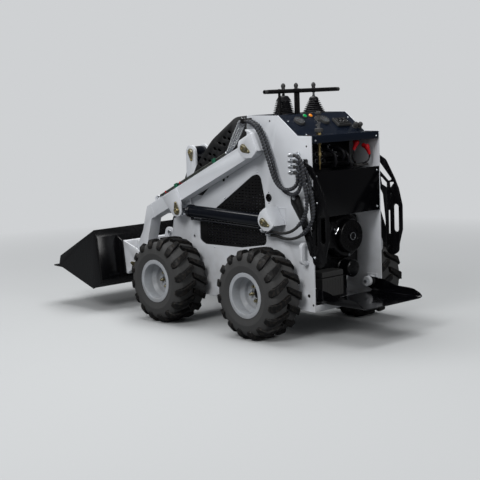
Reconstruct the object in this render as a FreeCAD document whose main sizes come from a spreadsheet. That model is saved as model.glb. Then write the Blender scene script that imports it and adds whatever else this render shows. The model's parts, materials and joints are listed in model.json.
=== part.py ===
"""Compact stand-on skid steer loader, with its bucket down and its foot platform out.

+X points to the bucket, +Y to the left and +Z up, in millimetres. The ground is at Z = 0.
Places along X are counted from the middle of the wheelbase, and one shift, OriginX, moves
every piece so that the origin lies under the middle of the whole machine.
"""
import FreeCAD
import Part
import Sketcher
import math
import os

doc = FreeCAD.newDocument("SkidSteerLoader")
sheet = doc.addObject("Spreadsheet::Sheet", "Sizes")
nodes = {}


class Size:
    """A number together with the sheet expression that it comes from."""

    def __init__(self, value, text):
        self.value = float(value)
        self.text = text

    def __add__(self, other):
        return Size(self.value + number(other), f"({self.text} + {words(other)})")

    def __radd__(self, other):
        return Size(number(other) + self.value, f"({words(other)} + {self.text})")

    def __sub__(self, other):
        return Size(self.value - number(other), f"({self.text} - {words(other)})")

    def __rsub__(self, other):
        return Size(number(other) - self.value, f"({words(other)} - {self.text})")

    def __mul__(self, other):
        return Size(self.value * number(other), f"({self.text} * {words(other)})")

    def __rmul__(self, other):
        return self * other

    def __truediv__(self, other):
        return Size(self.value / number(other), f"({self.text} / {words(other)})")

    def __rtruediv__(self, other):
        return Size(number(other) / self.value, f"({words(other)} / {self.text})")

    def __neg__(self):
        return Size(-self.value, f"(-{self.text})")


def number(item):
    """Returns the plain value of a Size or a number."""
    return item.value if isinstance(item, Size) else float(item)


def words(item):
    """Returns the expression text of a Size or a number."""
    return item.text if isinstance(item, Size) else f"({float(item)!r})"


def cosine(angle):
    """Returns the cosine of an angle in degrees as a Size."""
    return Size(math.cos(math.radians(number(angle))), f"cos({words(angle)})")


def sine(angle):
    """Returns the sine of an angle in degrees as a Size."""
    return Size(math.sin(math.radians(number(angle))), f"sin({words(angle)})")


def root(item):
    """Returns the square root of a Size as a Size."""
    return Size(math.sqrt(number(item)), f"sqrt({words(item)})")


# Driving dimensions: alias, value, what it is
DIMENSIONS = (
    ("WheelBase", 731, "between the axles"),
    ("TyreGap", 26, "hull plate to the tyre"),
    ("TyreDia", 468, "over the lugs"),
    ("LugHeight", 19, "lug above the carcass"),
    ("TyreWidth", 212, "widest part of the carcass"),
    ("TreadWidth", 164, "across the lugs' tips"),
    ("LugThick", 30, "lug along the tread"),
    ("LugSweep", 44, "lug trailing back from the middle to the shoulder"),
    ("RimSeatDia", 203, "bead seat"),
    ("RimFlangeDia", 237, "rim over its flanges"),
    ("RimWidth", 198, "rim over its flanges"),
    ("RimWall", 5, "rim and disc sheet"),
    ("DiscInset", 96, "disc face behind the outer flange"),
    ("HubDia", 112, "hub flange"),
    ("HubThick", 14, "hub flange"),
    ("AxleDia", 58, "axle housing tube"),
    ("StudCircle", 80, "pitch circle of the wheel studs"),
    ("StudDia", 14, "wheel stud"),
    ("StudLength", 22, "wheel stud, from the back of the disc"),
    ("DiscBoreDia", 56, "hole in the middle of the disc"),
    ("RimDrop", 18, "drop centre below the bead seat"),
    ("HubGap", 0.5, "running gap between a hub and its housing"),
    ("AxleInside", 90, "axle housing inside the hull plate"),
    ("PlateThick", 6, "hull plate"),
    ("FrontHoleX", 286, "lashing hole in a hull plate"),
    ("FrontHoleZ", 465, "lashing hole in a hull plate"),
    ("FrontHoleDia", 16, "lashing hole in a hull plate"),
    ("CableHoleX", -323, "cable hole in a hull plate"),
    ("CableHoleZ", 712, "cable hole in a hull plate"),
    ("CableHoleDia", 38, "cable hole in a hull plate"),
    ("FloorLipHeight", 33, "rear cross member over the hull's lower edge"),
    ("FrontPlateX", 421, "front face of the front plate"),
    ("BulkheadX", -430, "rear face of the bulkhead"),
    ("BulkheadHeight", 380, "bulkhead"),
    ("RearPanelZ", 620, "lower edge of the rear panel"),
    ("RearPanelHeight", 232, "rear panel"),
    ("HoodFootX", 345, "lower end of the hood"),
    ("HoodFootZ", 644, "lower end of the hood"),
    ("HullHalf", 258, "outer face of a hull plate"),
    ("HullRearX", -639, "rear edge of the hull plates"),
    ("HullBottomZ", 145, "lower edge of the hull plates"),
    ("DeckZ", 1138, "top of the hull plates"),
    ("DeckFrontX", -175, "front end of the deck"),
    ("SlopeTopX", -405, "top of the instrument slope"),
    ("SlopeFootX", -541, "foot of the instrument slope"),
    ("SlopeFootZ", 1036, "foot of the instrument slope"),
    ("SheetThick", 4, "black sheet metal"),
    ("BoomPinX", -240, "boom pivot"),
    ("BoomPinZ", 974, "boom pivot"),
    ("PinDia", 32, "boom and cylinder pins"),
    ("ArmClear", 6, "hull plate to the arm"),
    ("ArmWidth", 72, "arm across"),
    ("ArmGap", 5, "arm to the plates beside it"),
    ("ElbowX", 605, "upper corner of an arm's bend"),
    ("ElbowZ", 622, "upper corner of an arm's bend"),
    ("ArmDepth", 86, "arm, measured upright"),
    ("ArmSlope", 0.4476, "fall of an arm over its run"),
    ("ToolPinX", 700, "pivot of the quick attach"),
    ("ToolPinZ", 270, "pivot of the quick attach"),
    ("LiftBaseX", -370, "lower pin of a lift cylinder"),
    ("LiftBaseZ", 597, "lower pin of a lift cylinder"),
    ("LiftRodX", 322, "rod pin of a lift cylinder"),
    ("LiftRodZ", 614, "rod pin of a lift cylinder"),
    ("LiftBarrelDia", 66, "lift barrel"),
    ("LiftBarrelEnd", 640, "lift barrel, from its pin to its end"),
    ("LiftRodDia", 36, "lift rod"),
    ("TiltBaseX", 532, "upper pin of the tilt cylinder"),
    ("TiltBaseZ", 915, "upper pin of the tilt cylinder"),
    ("TiltRodX", 772, "rod pin of the tilt cylinder"),
    ("TiltRodZ", 425, "rod pin of the tilt cylinder"),
    ("TiltBarrelDia", 62, "tilt barrel"),
    ("TiltBarrelEnd", 470, "tilt barrel, from its pin to its end"),
    ("TiltRodDia", 32, "tilt rod"),
    ("LugPlate", 10, "bracket and lug plates"),
    ("PinHead", 8, "end of a pin outside its plate"),
    ("TiltEarY", 50, "middle plane of a tilt ear"),
    ("TiltEarThick", 14, "tilt ear"),
    ("RodEarY", 36, "middle plane of an ear at the tilt rod"),
    ("EyeGap", 2, "cylinder eye to the ear beside it"),
    ("RodGap", 0.3, "rod to the bore of its barrel"),
    ("RodRest", 40, "inner end of a rod to the end of its bore, at rest"),
    ("GlandLength", 26, "gland at the end of a barrel"),
    ("EyeRadius", 33, "cylinder eye"),
    ("EyeWidth", 48, "cylinder eye along its pin"),
    ("PinGap", 0.05, "pin to the hole that turns on it"),
    ("BucketHalf", 500, "outer face of a bucket side"),
    ("BucketPlate", 8, "bucket sheet"),
    ("BucketCurl", 17.5, "bucket rolled back, degrees"),
    ("ToolPlateX", 120, "front of the quick-attach frame ahead of its pivot"),
    ("ToolLean", 0.4534, "forward lean of the frame and the bucket's back over their height"),
    ("ToolPlateThick", 14, "quick-attach plate"),
    ("ToolPlateLow", -80, "lower edge of the quick-attach plate, from the pivot"),
    ("ToolPlateHigh", 95, "upper edge of the quick-attach plate, from the pivot"),
    ("ReceiverHalf", 360, "bucket's receiver, half its width"),
    ("FootZ", 190, "top of the foot platform"),
    ("FootGap", 25, "hull plate to the foot platform"),
    ("FootRearX", -935, "rear edge of the foot platform"),
    ("FootPinX", -577, "platform hinge"),
    ("FootPinZ", 236, "platform hinge"),
    ("FootThick", 5, "platform sheet"),
    ("HingeDiscDia", 54, "disc on the inner side of a platform hinge"),
    ("HingeDiscThick", 22, "disc on the inner side of a platform hinge"),
    ("GuardStandoff", 18, "hull plate to the hip guard"),
    ("GuardThick", 8, "hip guard"),
    ("EngineZ", 495, "crankshaft"),
    ("EngineGap", 25, "engine to the right hull plate"),
    ("EngineRearX", -500, "rear face of the engine"),
    ("EngineLength", 330, "engine"),
    ("EngineWidth", 300, "engine"),
    ("EngineHeight", 320, "engine"),
    ("EngineFootZ", 271, "underside of the engine"),
    ("FanDepth", 96, "recoil starter behind the engine"),
    ("ShroudDepth", 60, "fan shroud behind the engine"),
    ("RecoilDia", 180, "recoil starter"),
    ("BatteryZ", 196, "underside of the battery box"),
    ("FanDia", 240, "fan housing"),
    ("BarDia", 22, "handle bar"),
    ("BarZ", 1259, "handle bar"),
    ("BarX", -335, "handle bar"),
    ("LegWidth", 10, "post of the handle bar"),
    ("LeverX", -300, "levers"),
    ("BarOverhang", 22, "handle bar outside a hull plate"),
    ("LeftLeverY", 108, "left lever from the middle"),
    ("RightLeverY", -120, "right lever from the middle"),
    ("BootHeight", 7, "base of a lever boot"),
    ("HandleX", -594, "grab handle"),
    ("HandleZ", 388, "lower edge of a grab handle"),
    ("HandleHeight", 112, "grab handle"),
    ("HandleReach", 52, "grab handle outside the hull plate"),
    ("HandleThick", 17, "grab handle's bar"),
    ("HandleWidth", 22, "grab handle's bar"),
    ("EyeThick", 12, "lashing eye on an arm"),
    ("EyeHoleDia", 18, "lashing eye on an arm"),
    ("PipeDia", 11, "hydraulic pipe"),
    ("PipeRise", 14, "axis of a boom pipe over the arm"),
    ("PipeClampHeight", 24, "clamp of the boom pipes over the arm"),
    ("PipeRear", 767, "rear end of the boom pipes, back from the elbow"),
    ("PipeFront", 110, "front end of the boom pipes, back from the elbow"),
    ("HoodSlotLength", 34, "slot in a hood cheek"),
    ("HoodSlotHeight", 15, "slot in a hood cheek"),
    ("SlotPitchX", 26, "slots of a grille"),
    ("SlotPitchZ", 16, "slots of a grille"),
    ("SlotBridge", 11, "metal between two slots of a grille"),
    ("SlotHeight", 5, "slot of a grille"),
    ("SlotStartX", -282, "first slot of each row"),
    ("SlotLowZ", 448, "lowest row of slots"),
    ("SlotTopZ", 800, "highest row of slots"),
    ("HoseDia", 20, "hose with its wrap"),
    ("FittingX", -548, "bulkhead fittings"),
    ("FittingZ", 943, "highest bulkhead fitting"),
    ("FittingPitch", 29, "between two bulkhead fittings"),
    ("FittingReach", 64, "fitting outside the hull plate"),
    ("FittingLength", 40, "fitting along its hose"),
    ("PortX", -330, "fitting below a lift cylinder"),
    ("PortZ", 549, "fitting below a lift cylinder"),
    ("ClampX", -215, "rear face of the hose clamp"),
    ("ClampZ", 1112, "hose clamp"),
)

# Counts and small shares that are the same at any size
CarcassSides = 32
LugCount = 16
BeadGap = 0.5
ArcShare = 0.45
GrilleEnd = 205.0
GrilleBend = 556.0
SlopeRun = 1.577
LugStart = -4.0

# Round fittings of the instrument slope: share of the way down, Y, radius, height
SLOPE_FITTINGS = (
    (0.36, 153, 30, 14), (0.38, -29, 30, 14), (0.12, 78, 11, 11), (0.12, 36, 11, 11),
    (0.27, 10, 12, 16), (0.62, 56, 10, 26), (0.78, -206, 13, 30), (0.80, -238, 13, 30),
)

# Turned parts of the push-pull control: height over the ledge, radius, length
PUSH_PULL = ((0, 22, 34), (34, 6.5, 36), (66, 20, 53))

# Lever boots: lever's Y, base radius, lowest ring, step of the rings, rings, their pitch, the top
# cone's two radii and its height
BOOTS = (
    ("LeftLeverY", 55, 54, 2.2, 7, 9, 38, 22, 28),
    ("RightLeverY", 61, 57, 4.8, 6, 10, 27, 20, 20),
)

size = {}
for row, (alias, value, meaning) in enumerate(DIMENSIONS, start=1):
    sheet.set(f"A{row}", alias)
    sheet.set(f"B{row}", str(value))
    sheet.set(f"C{row}", meaning)
    sheet.setAlias(f"B{row}", alias)
    size[alias] = Size(value, f"Sizes.{alias}")

tool_reach = (598 - 0) * cosine(size["BucketCurl"]) + 229.3 * sine(size["BucketCurl"])
front_reach = size["ToolPinX"] + tool_reach
sheet.set("A200", "OriginX")
sheet.set("B200", "=" + (-(front_reach + size["FootRearX"]) / 2).text.replace("Sizes.", ""))
sheet.setAlias("B200", "OriginX")
size["OriginX"] = Size(number(-(front_reach + size["FootRearX"]) / 2), "Sizes.OriginX")
doc.recompute()


def s(alias):
    """Returns a driving dimension by its alias."""
    return size[alias]


def bind(item, path, value):
    """Sets one property of an object from a Size or a plain number."""
    item.setExpression(path, words(value))


def place(item, x, y, z, rotation=None):
    """Puts an object at a place counted from the middle of the wheelbase."""
    if rotation is not None:
        item.Placement.Rotation = rotation
    bind(item, "Placement.Base.x", s("OriginX") + x)
    bind(item, "Placement.Base.y", y)
    bind(item, "Placement.Base.z", z)


def keep(label, item):
    """Names an object that is written out as a piece of its own."""
    item.Label = label
    nodes[label] = item
    return item


def fresh(name):
    """Returns a document name that is not in use yet."""
    count = 0
    while doc.getObject(f"{name}{count}") is not None:
        count += 1
    return f"{name}{count}"


def block(name, x, y, z, length, width, height, rotation=None):
    """Makes a box from its low corner and its three sizes."""
    item = doc.addObject("Part::Box", fresh(name))
    bind(item, "Length", length)
    bind(item, "Width", width)
    bind(item, "Height", height)
    place(item, x, y, z, rotation)
    return item


TURN_Y = FreeCAD.Rotation(FreeCAD.Vector(1, 0, 0), -90)
TURN_X = FreeCAD.Rotation(FreeCAD.Vector(0, 1, 0), 90)


def rod(name, x, y, z, radius, length, turn=TURN_Y):
    """Makes a cylinder from one end, along +Y unless another turn is given."""
    item = doc.addObject("Part::Cylinder", fresh(name))
    bind(item, "Radius", radius)
    bind(item, "Height", length)
    place(item, x, y, z, turn)
    return item


def fuse(name, parts):
    """Joins objects into one solid."""
    item = doc.addObject("Part::MultiFuse", fresh(name))
    item.Shapes = parts
    return item


def cut(name, base, tools):
    """Takes objects away from a base."""
    tool = tools[0] if len(tools) == 1 else fuse(name + "Tools", tools)
    item = doc.addObject("Part::Cut", fresh(name))
    item.Base = base
    item.Tool = tool
    return item


def group(name, parts):
    """Puts separate solids into one piece."""
    item = doc.addObject("Part::Compound", fresh(name))
    item.Links = parts
    return item


def corner_geometry(corners):
    """Works out the straight runs and the rounding arc at each corner of a closed loop."""
    points = [FreeCAD.Vector(number(a), number(b), 0) for a, b, *_ in corners]
    rounds = [number(row[2]) if len(row) > 2 else 0.0 for row in corners]
    result = []
    for index, point in enumerate(points):
        before = (points[index - 1] - point).normalize()
        after = (points[(index + 1) % len(points)] - point).normalize()
        if rounds[index] == 0.0:
            result.append((point, point, None))
            continue
        half = before.getAngle(after) / 2
        reach = rounds[index] / math.tan(half)
        start = point + before * reach
        end = point + after * reach
        centre = point + (before + after).normalize() * (rounds[index] / math.sin(half))
        result.append((start, end, centre))
    return points, rounds, result


def draw_loop(sketch, corners):
    """Draws a closed loop of lines with rounded corners. Columns: across, up, radius."""
    points, rounds, geometry = corner_geometry(corners)
    lines = []
    for index, (start, end, centre) in enumerate(geometry):
        following = geometry[(index + 1) % len(geometry)][0]
        lines.append(sketch.addGeometry(Part.LineSegment(end, following), False))
    for index, (start, end, centre) in enumerate(geometry):
        across, up = corners[index][0], corners[index][1]
        line_in = lines[index - 1]
        line_out = lines[index]
        if centre is None:
            sketch.addConstraint(Sketcher.Constraint("Coincident", line_in, 2, line_out, 1))
            corner = line_out
        else:
            angle_in = math.atan2(start.y - centre.y, start.x - centre.x)
            angle_out = math.atan2(end.y - centre.y, end.x - centre.x)
            turn = (start - centre).cross(end - centre).z
            low, high = (angle_in, angle_out) if turn > 0 else (angle_out, angle_in)
            circle = Part.Circle(centre, FreeCAD.Vector(0, 0, 1), rounds[index])
            arc = sketch.addGeometry(Part.ArcOfCircle(circle, low, high), False)
            first, last = (1, 2) if turn > 0 else (2, 1)
            sketch.addConstraint(Sketcher.Constraint("Tangent", line_in, 2, arc, first))
            sketch.addConstraint(Sketcher.Constraint("Tangent", arc, last, line_out, 1))
            held = sketch.addConstraint(Sketcher.Constraint("Radius", arc, rounds[index]))
            bind(sketch, f"Constraints[{held}]", corners[index][2])
            corner = sketch.addGeometry(Part.Point(points[index]), True)
            sketch.addConstraint(Sketcher.Constraint("PointOnObject", corner, 1, line_in))
            sketch.addConstraint(Sketcher.Constraint("PointOnObject", corner, 1, line_out))
        pin_point(sketch, corner, 1, points[index], across, up)


def pin_point(sketch, item, which, point, across, up):
    """Fixes a point of a sketch at its two distances from the sketch's origin."""
    held = sketch.addConstraint(Sketcher.Constraint("DistanceX", -1, 1, item, which, point.x))
    bind(sketch, f"Constraints[{held}]", across)
    held = sketch.addConstraint(Sketcher.Constraint("DistanceY", -1, 1, item, which, point.y))
    bind(sketch, f"Constraints[{held}]", up)


def draw_hole(sketch, across, up, radius):
    """Draws a round hole in a sketch."""
    centre = FreeCAD.Vector(number(across), number(up), 0)
    circle = Part.Circle(centre, FreeCAD.Vector(0, 0, 1), number(radius))
    hole = sketch.addGeometry(circle, False)
    held = sketch.addConstraint(Sketcher.Constraint("Radius", hole, number(radius)))
    bind(sketch, f"Constraints[{held}]", radius)
    pin_point(sketch, hole, 3, centre, across, up)


def sketched(name, plane, loops, holes=()):
    """Makes a body with one sketch on one of its origin planes."""
    body = doc.addObject("PartDesign::Body", fresh(name))
    sketch = body.newObject("Sketcher::SketchObject", fresh(name + "Outline"))
    face = [item for item in body.Origin.OriginFeatures if item.Role == plane][0]
    sketch.AttachmentSupport = [(face, "")]
    sketch.MapMode = "FlatFace"
    for corners in loops:
        draw_loop(sketch, corners)
    for across, up, radius in holes:
        draw_hole(sketch, across, up, radius)
    return body, sketch


def plate(name, middle, thick, loops, holes=()):
    """Makes a plate upright along X from its outline, centred on the plane Y = middle."""
    body, sketch = sketched(name, "XZ_Plane", loops, holes)
    pad = body.newObject("PartDesign::Pad", fresh(name + "Pad"))
    pad.Profile = sketch
    bind(pad, "Length", thick)
    pad.Reversed = True
    place(body, 0, middle - thick / 2, 0)
    return body


def turned(name, x, y, z, corners):
    """Turns a profile about the Y axis. Columns: distance from the axis, Y, radius."""
    body, sketch = sketched(name, "XY_Plane", [corners])
    spin = body.newObject("PartDesign::Revolution", fresh(name + "Spin"))
    spin.Profile = sketch
    spin.ReferenceAxis = (sketch, ["V_Axis"])
    spin.Angle = 360
    place(body, x, y, z)
    return body


def sides():
    """Yields the name and the sign of the left and the right side."""
    return (("left", 1), ("right", -1))


arm_inner = s("HullHalf") + s("ArmClear")
arm_y = arm_inner + s("ArmWidth") / 2
bracket_y = arm_inner + s("ArmWidth") + s("ArmGap") + s("LugPlate") / 2
pin_radius = s("PinDia") / 2
pin_hole = pin_radius + s("PinGap")
inside = s("HullHalf") - s("PlateThick")
floor_top = s("HullBottomZ") + s("PlateThick")
plate_y = s("HullHalf") - s("PlateThick") / 2
wheel_y = s("HullHalf") + s("TyreGap") + s("TyreWidth") / 2
guard_y = s("HullHalf") + s("GuardStandoff") + s("GuardThick") / 2
foot_half = inside - s("FootGap") - s("FootThick")
engine_y = s("EngineWidth") / 2 + s("EngineGap") - inside
lug_reach = (s("LugThick") + s("LugSweep")) / 2
lug_top = root(s("TyreDia") * s("TyreDia") / 4 - lug_reach * lug_reach)
axle_z = lug_top * cosine(90 / LugCount) + lug_reach * sine(90 / LugCount)


def side_plate_outline():
    """Gives the outline of a hull plate. Columns: X, Z, radius."""
    return [
        (s("HullRearX"), s("HullBottomZ")),
        (460, s("HullBottomZ"), 60),
        (485, 450),
        (461, 557, 8),
        (444, 559, 12),
        (331, 662, 20),
        (269, 698, 12),
        (204, 697, 12),
        (98, 783, 20),
        (s("DeckFrontX") + 10, 985, 20),
        (s("DeckFrontX"), s("DeckZ")),
        (s("SlopeTopX"), s("DeckZ")),
        (s("SlopeFootX"), s("SlopeFootZ")),
        (s("HullRearX"), s("SlopeFootZ")),
    ]


def mesh_opening():
    """Gives the opening in a hull plate behind the lift arm. Columns: X, Z, radius."""
    return [
        (-297, 462, 28), (-294, 700, 60), (-262, 838, 34), (-200, 822, 14),
        (106, 628, 12), (236, 560, 14), (238, 448, 28), (193, 428, 20), (-101, 432, 20),
    ]


def make_hull():
    """Makes the hull plates, floor, bulkhead and front plate."""
    for side, sign in sides():
        axles = [(s("WheelBase") / 2 * end, axle_z, s("AxleDia") / 2)
                 for end in (-1, 1)]
        holes = [(s("FrontHoleX"), s("FrontHoleZ"), s("FrontHoleDia") / 2),
                 (s("CableHoleX"), s("CableHoleZ"), s("CableHoleDia") / 2)]
        body = plate(f"SidePlate{side}", plate_y * sign, s("PlateThick"),
                     [side_plate_outline(), mesh_opening()], axles + holes)
        keep(f"side_plate_{side}", body)
    floor = block("Floor", s("HullRearX"), -inside, s("HullBottomZ"),
                  s("FrontPlateX") - s("HullRearX"), inside * 2, s("PlateThick"))
    lip = block("FloorLip", s("HullRearX"), -inside, s("HullBottomZ"),
                s("PlateThick"), inside * 2, s("FloorLipHeight"))
    keep("belly_pan", fuse("BellyPan", [floor, lip]))
    keep("bulkhead", block("Bulkhead", s("BulkheadX"), -inside, s("RearPanelZ"),
                           s("SheetThick"), inside * 2, s("BulkheadHeight")))
    thick = s("SheetThick")
    front, foot_x, foot_z = s("FrontPlateX"), s("HoodFootX"), s("HoodFootZ")
    keep("front_plate", plate("FrontPlate", 0, inside * 2, [[
        (front - thick, floor_top), (front, floor_top), (front, foot_z - 70),
        (foot_x, foot_z), (foot_x - thick, foot_z), (front - thick, foot_z - 72),
    ]]))


def make_grilles():
    """Makes the slotted sheets that close the openings in the hull plates."""
    thick = number(s("SheetThick"))
    start, low, top = number(s("SlotStartX")), number(s("SlotLowZ")), number(s("SlotTopZ"))
    along, up = number(s("SlotPitchX")), number(s("SlotPitchZ"))
    length, height = along - number(s("SlotBridge")), number(s("SlotHeight"))
    outline = [(-318, 410), (-318, 860), (-180, 860), (262, 590), (262, 410)]
    loops = [outline]
    for row in range(int((top - low) / up) + 1):
        z = low + up * row
        reach = min(GrilleEnd, GrilleEnd - (z - GrilleBend) * SlopeRun)
        for index in range(int((reach - start) / along)):
            x = start + along * index
            loops.append([(x, z), (x + length, z), (x + length, z + height), (x, z + height)])
    shift = number(s("OriginX"))
    sheets = []
    for sign in (1, -1):
        y = number(inside) * sign - (thick if sign > 0 else 0)
        wires = [Part.makePolygon([FreeCAD.Vector(x + shift, y, z) for x, z in [*loop, loop[0]]])
                 for loop in loops]
        # A sketch with some hundred slots is slow, so the sheet's face is made straight away
        sheet = doc.addObject("Part::Feature", fresh("Grille"))
        sheet.Shape = Part.Face(wires).extrude(FreeCAD.Vector(0, thick, 0))
        sheets.append(sheet)
    keep("side_grilles", group("SideGrilles", sheets))


def make_hood():
    """Makes the front hood: a sheet bowed forward between two slotted cheeks."""
    thick = s("SheetThick")
    top_x, top_z = s("DeckFrontX"), s("DeckZ")
    foot_x, foot_z = s("HoodFootX"), s("HoodFootZ")
    bow = [(-80, 1130, 120), (120, 1003, 300), (250, 865, 300), (325, 752, 120)]
    within = [(x - thick * 0.7, z - thick * 0.7, radius) for x, z, radius in reversed(bow)]
    sheet_outline = ([(top_x, top_z)] + bow + [(foot_x, foot_z), (foot_x - thick, foot_z)]
                     + within + [(top_x, top_z - thick)])
    parts = [plate("HoodFront", 0, inside * 2, [sheet_outline])]
    length, height = s("HoodSlotLength"), s("HoodSlotHeight")
    slots = []
    for row, count in enumerate((7, 5)):
        for index in range(count):
            x = -27 + 41 * index + 4 * row
            z = 1050 - 30.6 * index - 37 * row
            slots.append([(x - length / 2, z - height / 2), (x + length / 2 - 12, z - height / 2),
                          (x + length / 2, z + height / 2), (x + 12 - length / 2, z + height / 2)])
    for side, sign in sides():
        cheek = ([(top_x, top_z)] + bow
                 + [(foot_x, foot_z), (200, 670), (90, 755), (top_x, 905)])
        parts.append(plate(f"HoodCheek{side}", (inside - thick / 2) * sign, thick,
                           [cheek] + slots))
    keep("hood", fuse("Hood", parts))


def make_deck():
    """Makes the black control deck: flat top, instrument slope and rear lip."""
    drop = s("SheetThick")
    outline = [
        (s("DeckFrontX"), s("DeckZ")), (s("SlopeTopX"), s("DeckZ")),
        (s("SlopeFootX"), s("SlopeFootZ")), (s("HullRearX"), s("SlopeFootZ")),
        (s("HullRearX"), s("SlopeFootZ") - 38), (s("HullRearX") + drop, s("SlopeFootZ") - 38),
        (s("HullRearX") + drop, s("SlopeFootZ") - drop),
        (s("SlopeFootX") + 2, s("SlopeFootZ") - drop),
        (s("SlopeTopX") + 2, s("DeckZ") - drop), (s("DeckFrontX"), s("DeckZ") - drop),
    ]
    keep("control_deck", plate("Deck", 0, inside * 2, [outline]))
    keep("rear_panel", block("RearPanel", s("HullRearX"), -inside, s("RearPanelZ"),
                             s("SheetThick"), inside * 2, s("RearPanelHeight")))


def make_power():
    """Makes the engine, its recoil starter, battery box, pump and control valve."""
    back = s("EngineRearX")
    half = s("EngineWidth") / 2
    engine = block("Engine", back, engine_y - half, s("EngineFootZ"),
                   s("EngineLength"), s("EngineWidth"), s("EngineHeight"))
    mount = block("EngineMount", back + 30, engine_y - 90, floor_top, 270, 180,
                  s("EngineFootZ") - floor_top)
    keep("engine_block", fuse("EngineBlock", [engine, mount]))
    radius = s("FanDia") / 2
    shroud = rod("FanShroud", back - s("ShroudDepth"), engine_y, s("EngineZ"), radius,
                 s("ShroudDepth"), TURN_X)
    cover = rod("RecoilCover", back - s("FanDepth"), engine_y, s("EngineZ"), s("RecoilDia") / 2,
                s("FanDepth"), TURN_X)
    cap = rod("RecoilCap", back - s("FanDepth") - 6, engine_y, s("EngineZ"), 24, 10, TURN_X)
    wing = block("ShroudSide", back - s("ShroudDepth"), engine_y + 30, s("EngineZ") - 60,
                 s("ShroudDepth"), 110, 150)
    bars = []
    reach = s("RecoilDia") / 2 - 12
    for index in range(12):
        angle = 15 * index
        y = engine_y - reach * cosine(angle) + 2.5 * sine(angle)
        z = s("EngineZ") - reach * sine(angle) - 2.5 * cosine(angle)
        bars.append(block("VentBar", back - s("FanDepth") - 1, y, z, 5, reach * 2, 5,
                          FreeCAD.Rotation(FreeCAD.Vector(1, 0, 0), angle)))
    core = rod("VentCore", back - s("FanDepth") - 2, engine_y, s("EngineZ"), 44, 8, TURN_X)
    vents = cut("Vents", fuse("VentBars", bars), [core])
    keep("fan_housing", cut("FanHousing", fuse("FanWhole", [shroud, cover, wing, cap]), [vents]))
    left = engine_y + half
    box = block("BatteryBox", back - 90, left - 83, s("BatteryZ"), 84, 160, 134)
    stand = block("BatteryStand", back - 80, left - 63, floor_top, 64, 120,
                  s("BatteryZ") - floor_top)
    keep("battery_box", fuse("BatteryBoxWhole", [box, stand]))
    keep("pump_end", rod("PumpEnd", back - 85, engine_y - 23, 320, 48, 85, TURN_X))
    body = block("Valve", s("BulkheadX") - 110, left - 13, 880, 110, 150, 80)
    ports = [rod("ValvePort", s("BulkheadX") - 138, left + 12 + 42 * index, 900 + 36 * row, 13, 30,
                 TURN_X) for index in range(3) for row in range(2)]
    keep("hydraulic_valve", fuse("ValveWhole", [body] + ports))


def faced(loops):
    """Makes a solid from the loops of points of its flat faces."""
    faces = [Part.Face(Part.makePolygon([*loop, loop[0]])) for loop in loops]
    shell = Part.makeShell(faces)
    shell.sewShape()
    solid = Part.makeSolid(shell)
    if solid.Volume < 0:
        solid.reverse()
    return solid


def tyre_shape():
    """Makes the tyre about the Y axis: a faceted carcass with its staggered slanting lugs."""
    radius = number(s("TyreDia")) / 2
    bead = number(s("RimSeatDia")) / 2 / math.cos(math.pi / CarcassSides) + BeadGap
    half, tread = number(s("TyreWidth")) / 2, number(s("TreadWidth")) / 2
    root_radius = radius - number(s("LugHeight"))
    outer = [(bead, half - 28), (bead + 52, half), (root_radius - 2, tread)]
    profile = outer + [(r, -y) for r, y in reversed(outer)]

    def turned_point(angle, r, y, t=0.0):
        a = math.radians(angle)
        return FreeCAD.Vector(r * math.sin(a) + t * math.cos(a), y, r * math.cos(a) - t * math.sin(a))

    step = 360 / CarcassSides
    loops = []
    for index in range(CarcassSides):
        for (r0, y0), (r1, y1) in zip(profile, profile[1:] + profile[:1]):
            loops.append([turned_point(step * index, r0, y0), turned_point(step * index, r1, y1),
                          turned_point(step * (index + 1), r1, y1),
                          turned_point(step * (index + 1), r0, y0)])
    carcass = faced(loops)
    top = number(lug_top)
    section = [(LugStart, root_radius - 12), (LugStart, top), (tread, top), (half + 3, root_radius - 26)]
    pitch = 360 / LugCount
    lugs = []
    for side in (1, -1):
        for index in range(LugCount):
            angle = 180 - pitch / 4 + pitch * index + (pitch / 2 if side < 0 else 0)
            rows = []
            for edge in (-0.5, 0.5):
                rows.append([turned_point(angle, r, y * side, number(s("LugThick")) * edge
                             + number(s("LugSweep")) * (0.5 - (y - LugStart) / (tread - LugStart)))
                             for y, r in section])
            low, high = rows
            around = zip(low, low[1:] + low[:1], high[1:] + high[:1], high)
            lugs.append(faced([low, high] + [list(corners) for corners in around]))
    return carcass.multiFuse(lugs).removeSplitter()


def make_wheels():
    """Makes four wheels, each a tyre and a rim with its hub, and the axle housings."""
    shape = tyre_shape()
    for end, along in (("front", 1), ("rear", -1)):
        x = s("WheelBase") / 2 * along
        for side, sign in sides():
            y = wheel_y * sign
            name = f"{end}_{side}"
            tyre = doc.addObject("Part::Feature", fresh("Tyre"))
            tyre.Shape = shape
            place(tyre, x, y, axle_z)
            keep(f"tyre_{name}", tyre)
            make_rim(name, x, y, axle_z, sign)
    start = s("HullHalf") - s("AxleInside")
    hub_face = wheel_y + s("RimWidth") / 2 - s("DiscInset") - s("RimWall") - s("HubThick")
    reach = hub_face - s("HubGap") - start
    tubes = []
    for along in (1, -1):
        for sign in (1, -1):
            low = start if sign > 0 else -(start + reach)
            tubes.append(rod("AxleTube", s("WheelBase") / 2 * along, low, axle_z,
                             s("AxleDia") / 2, reach))
    keep("axle_housings", group("AxleHousings", tubes))


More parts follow.
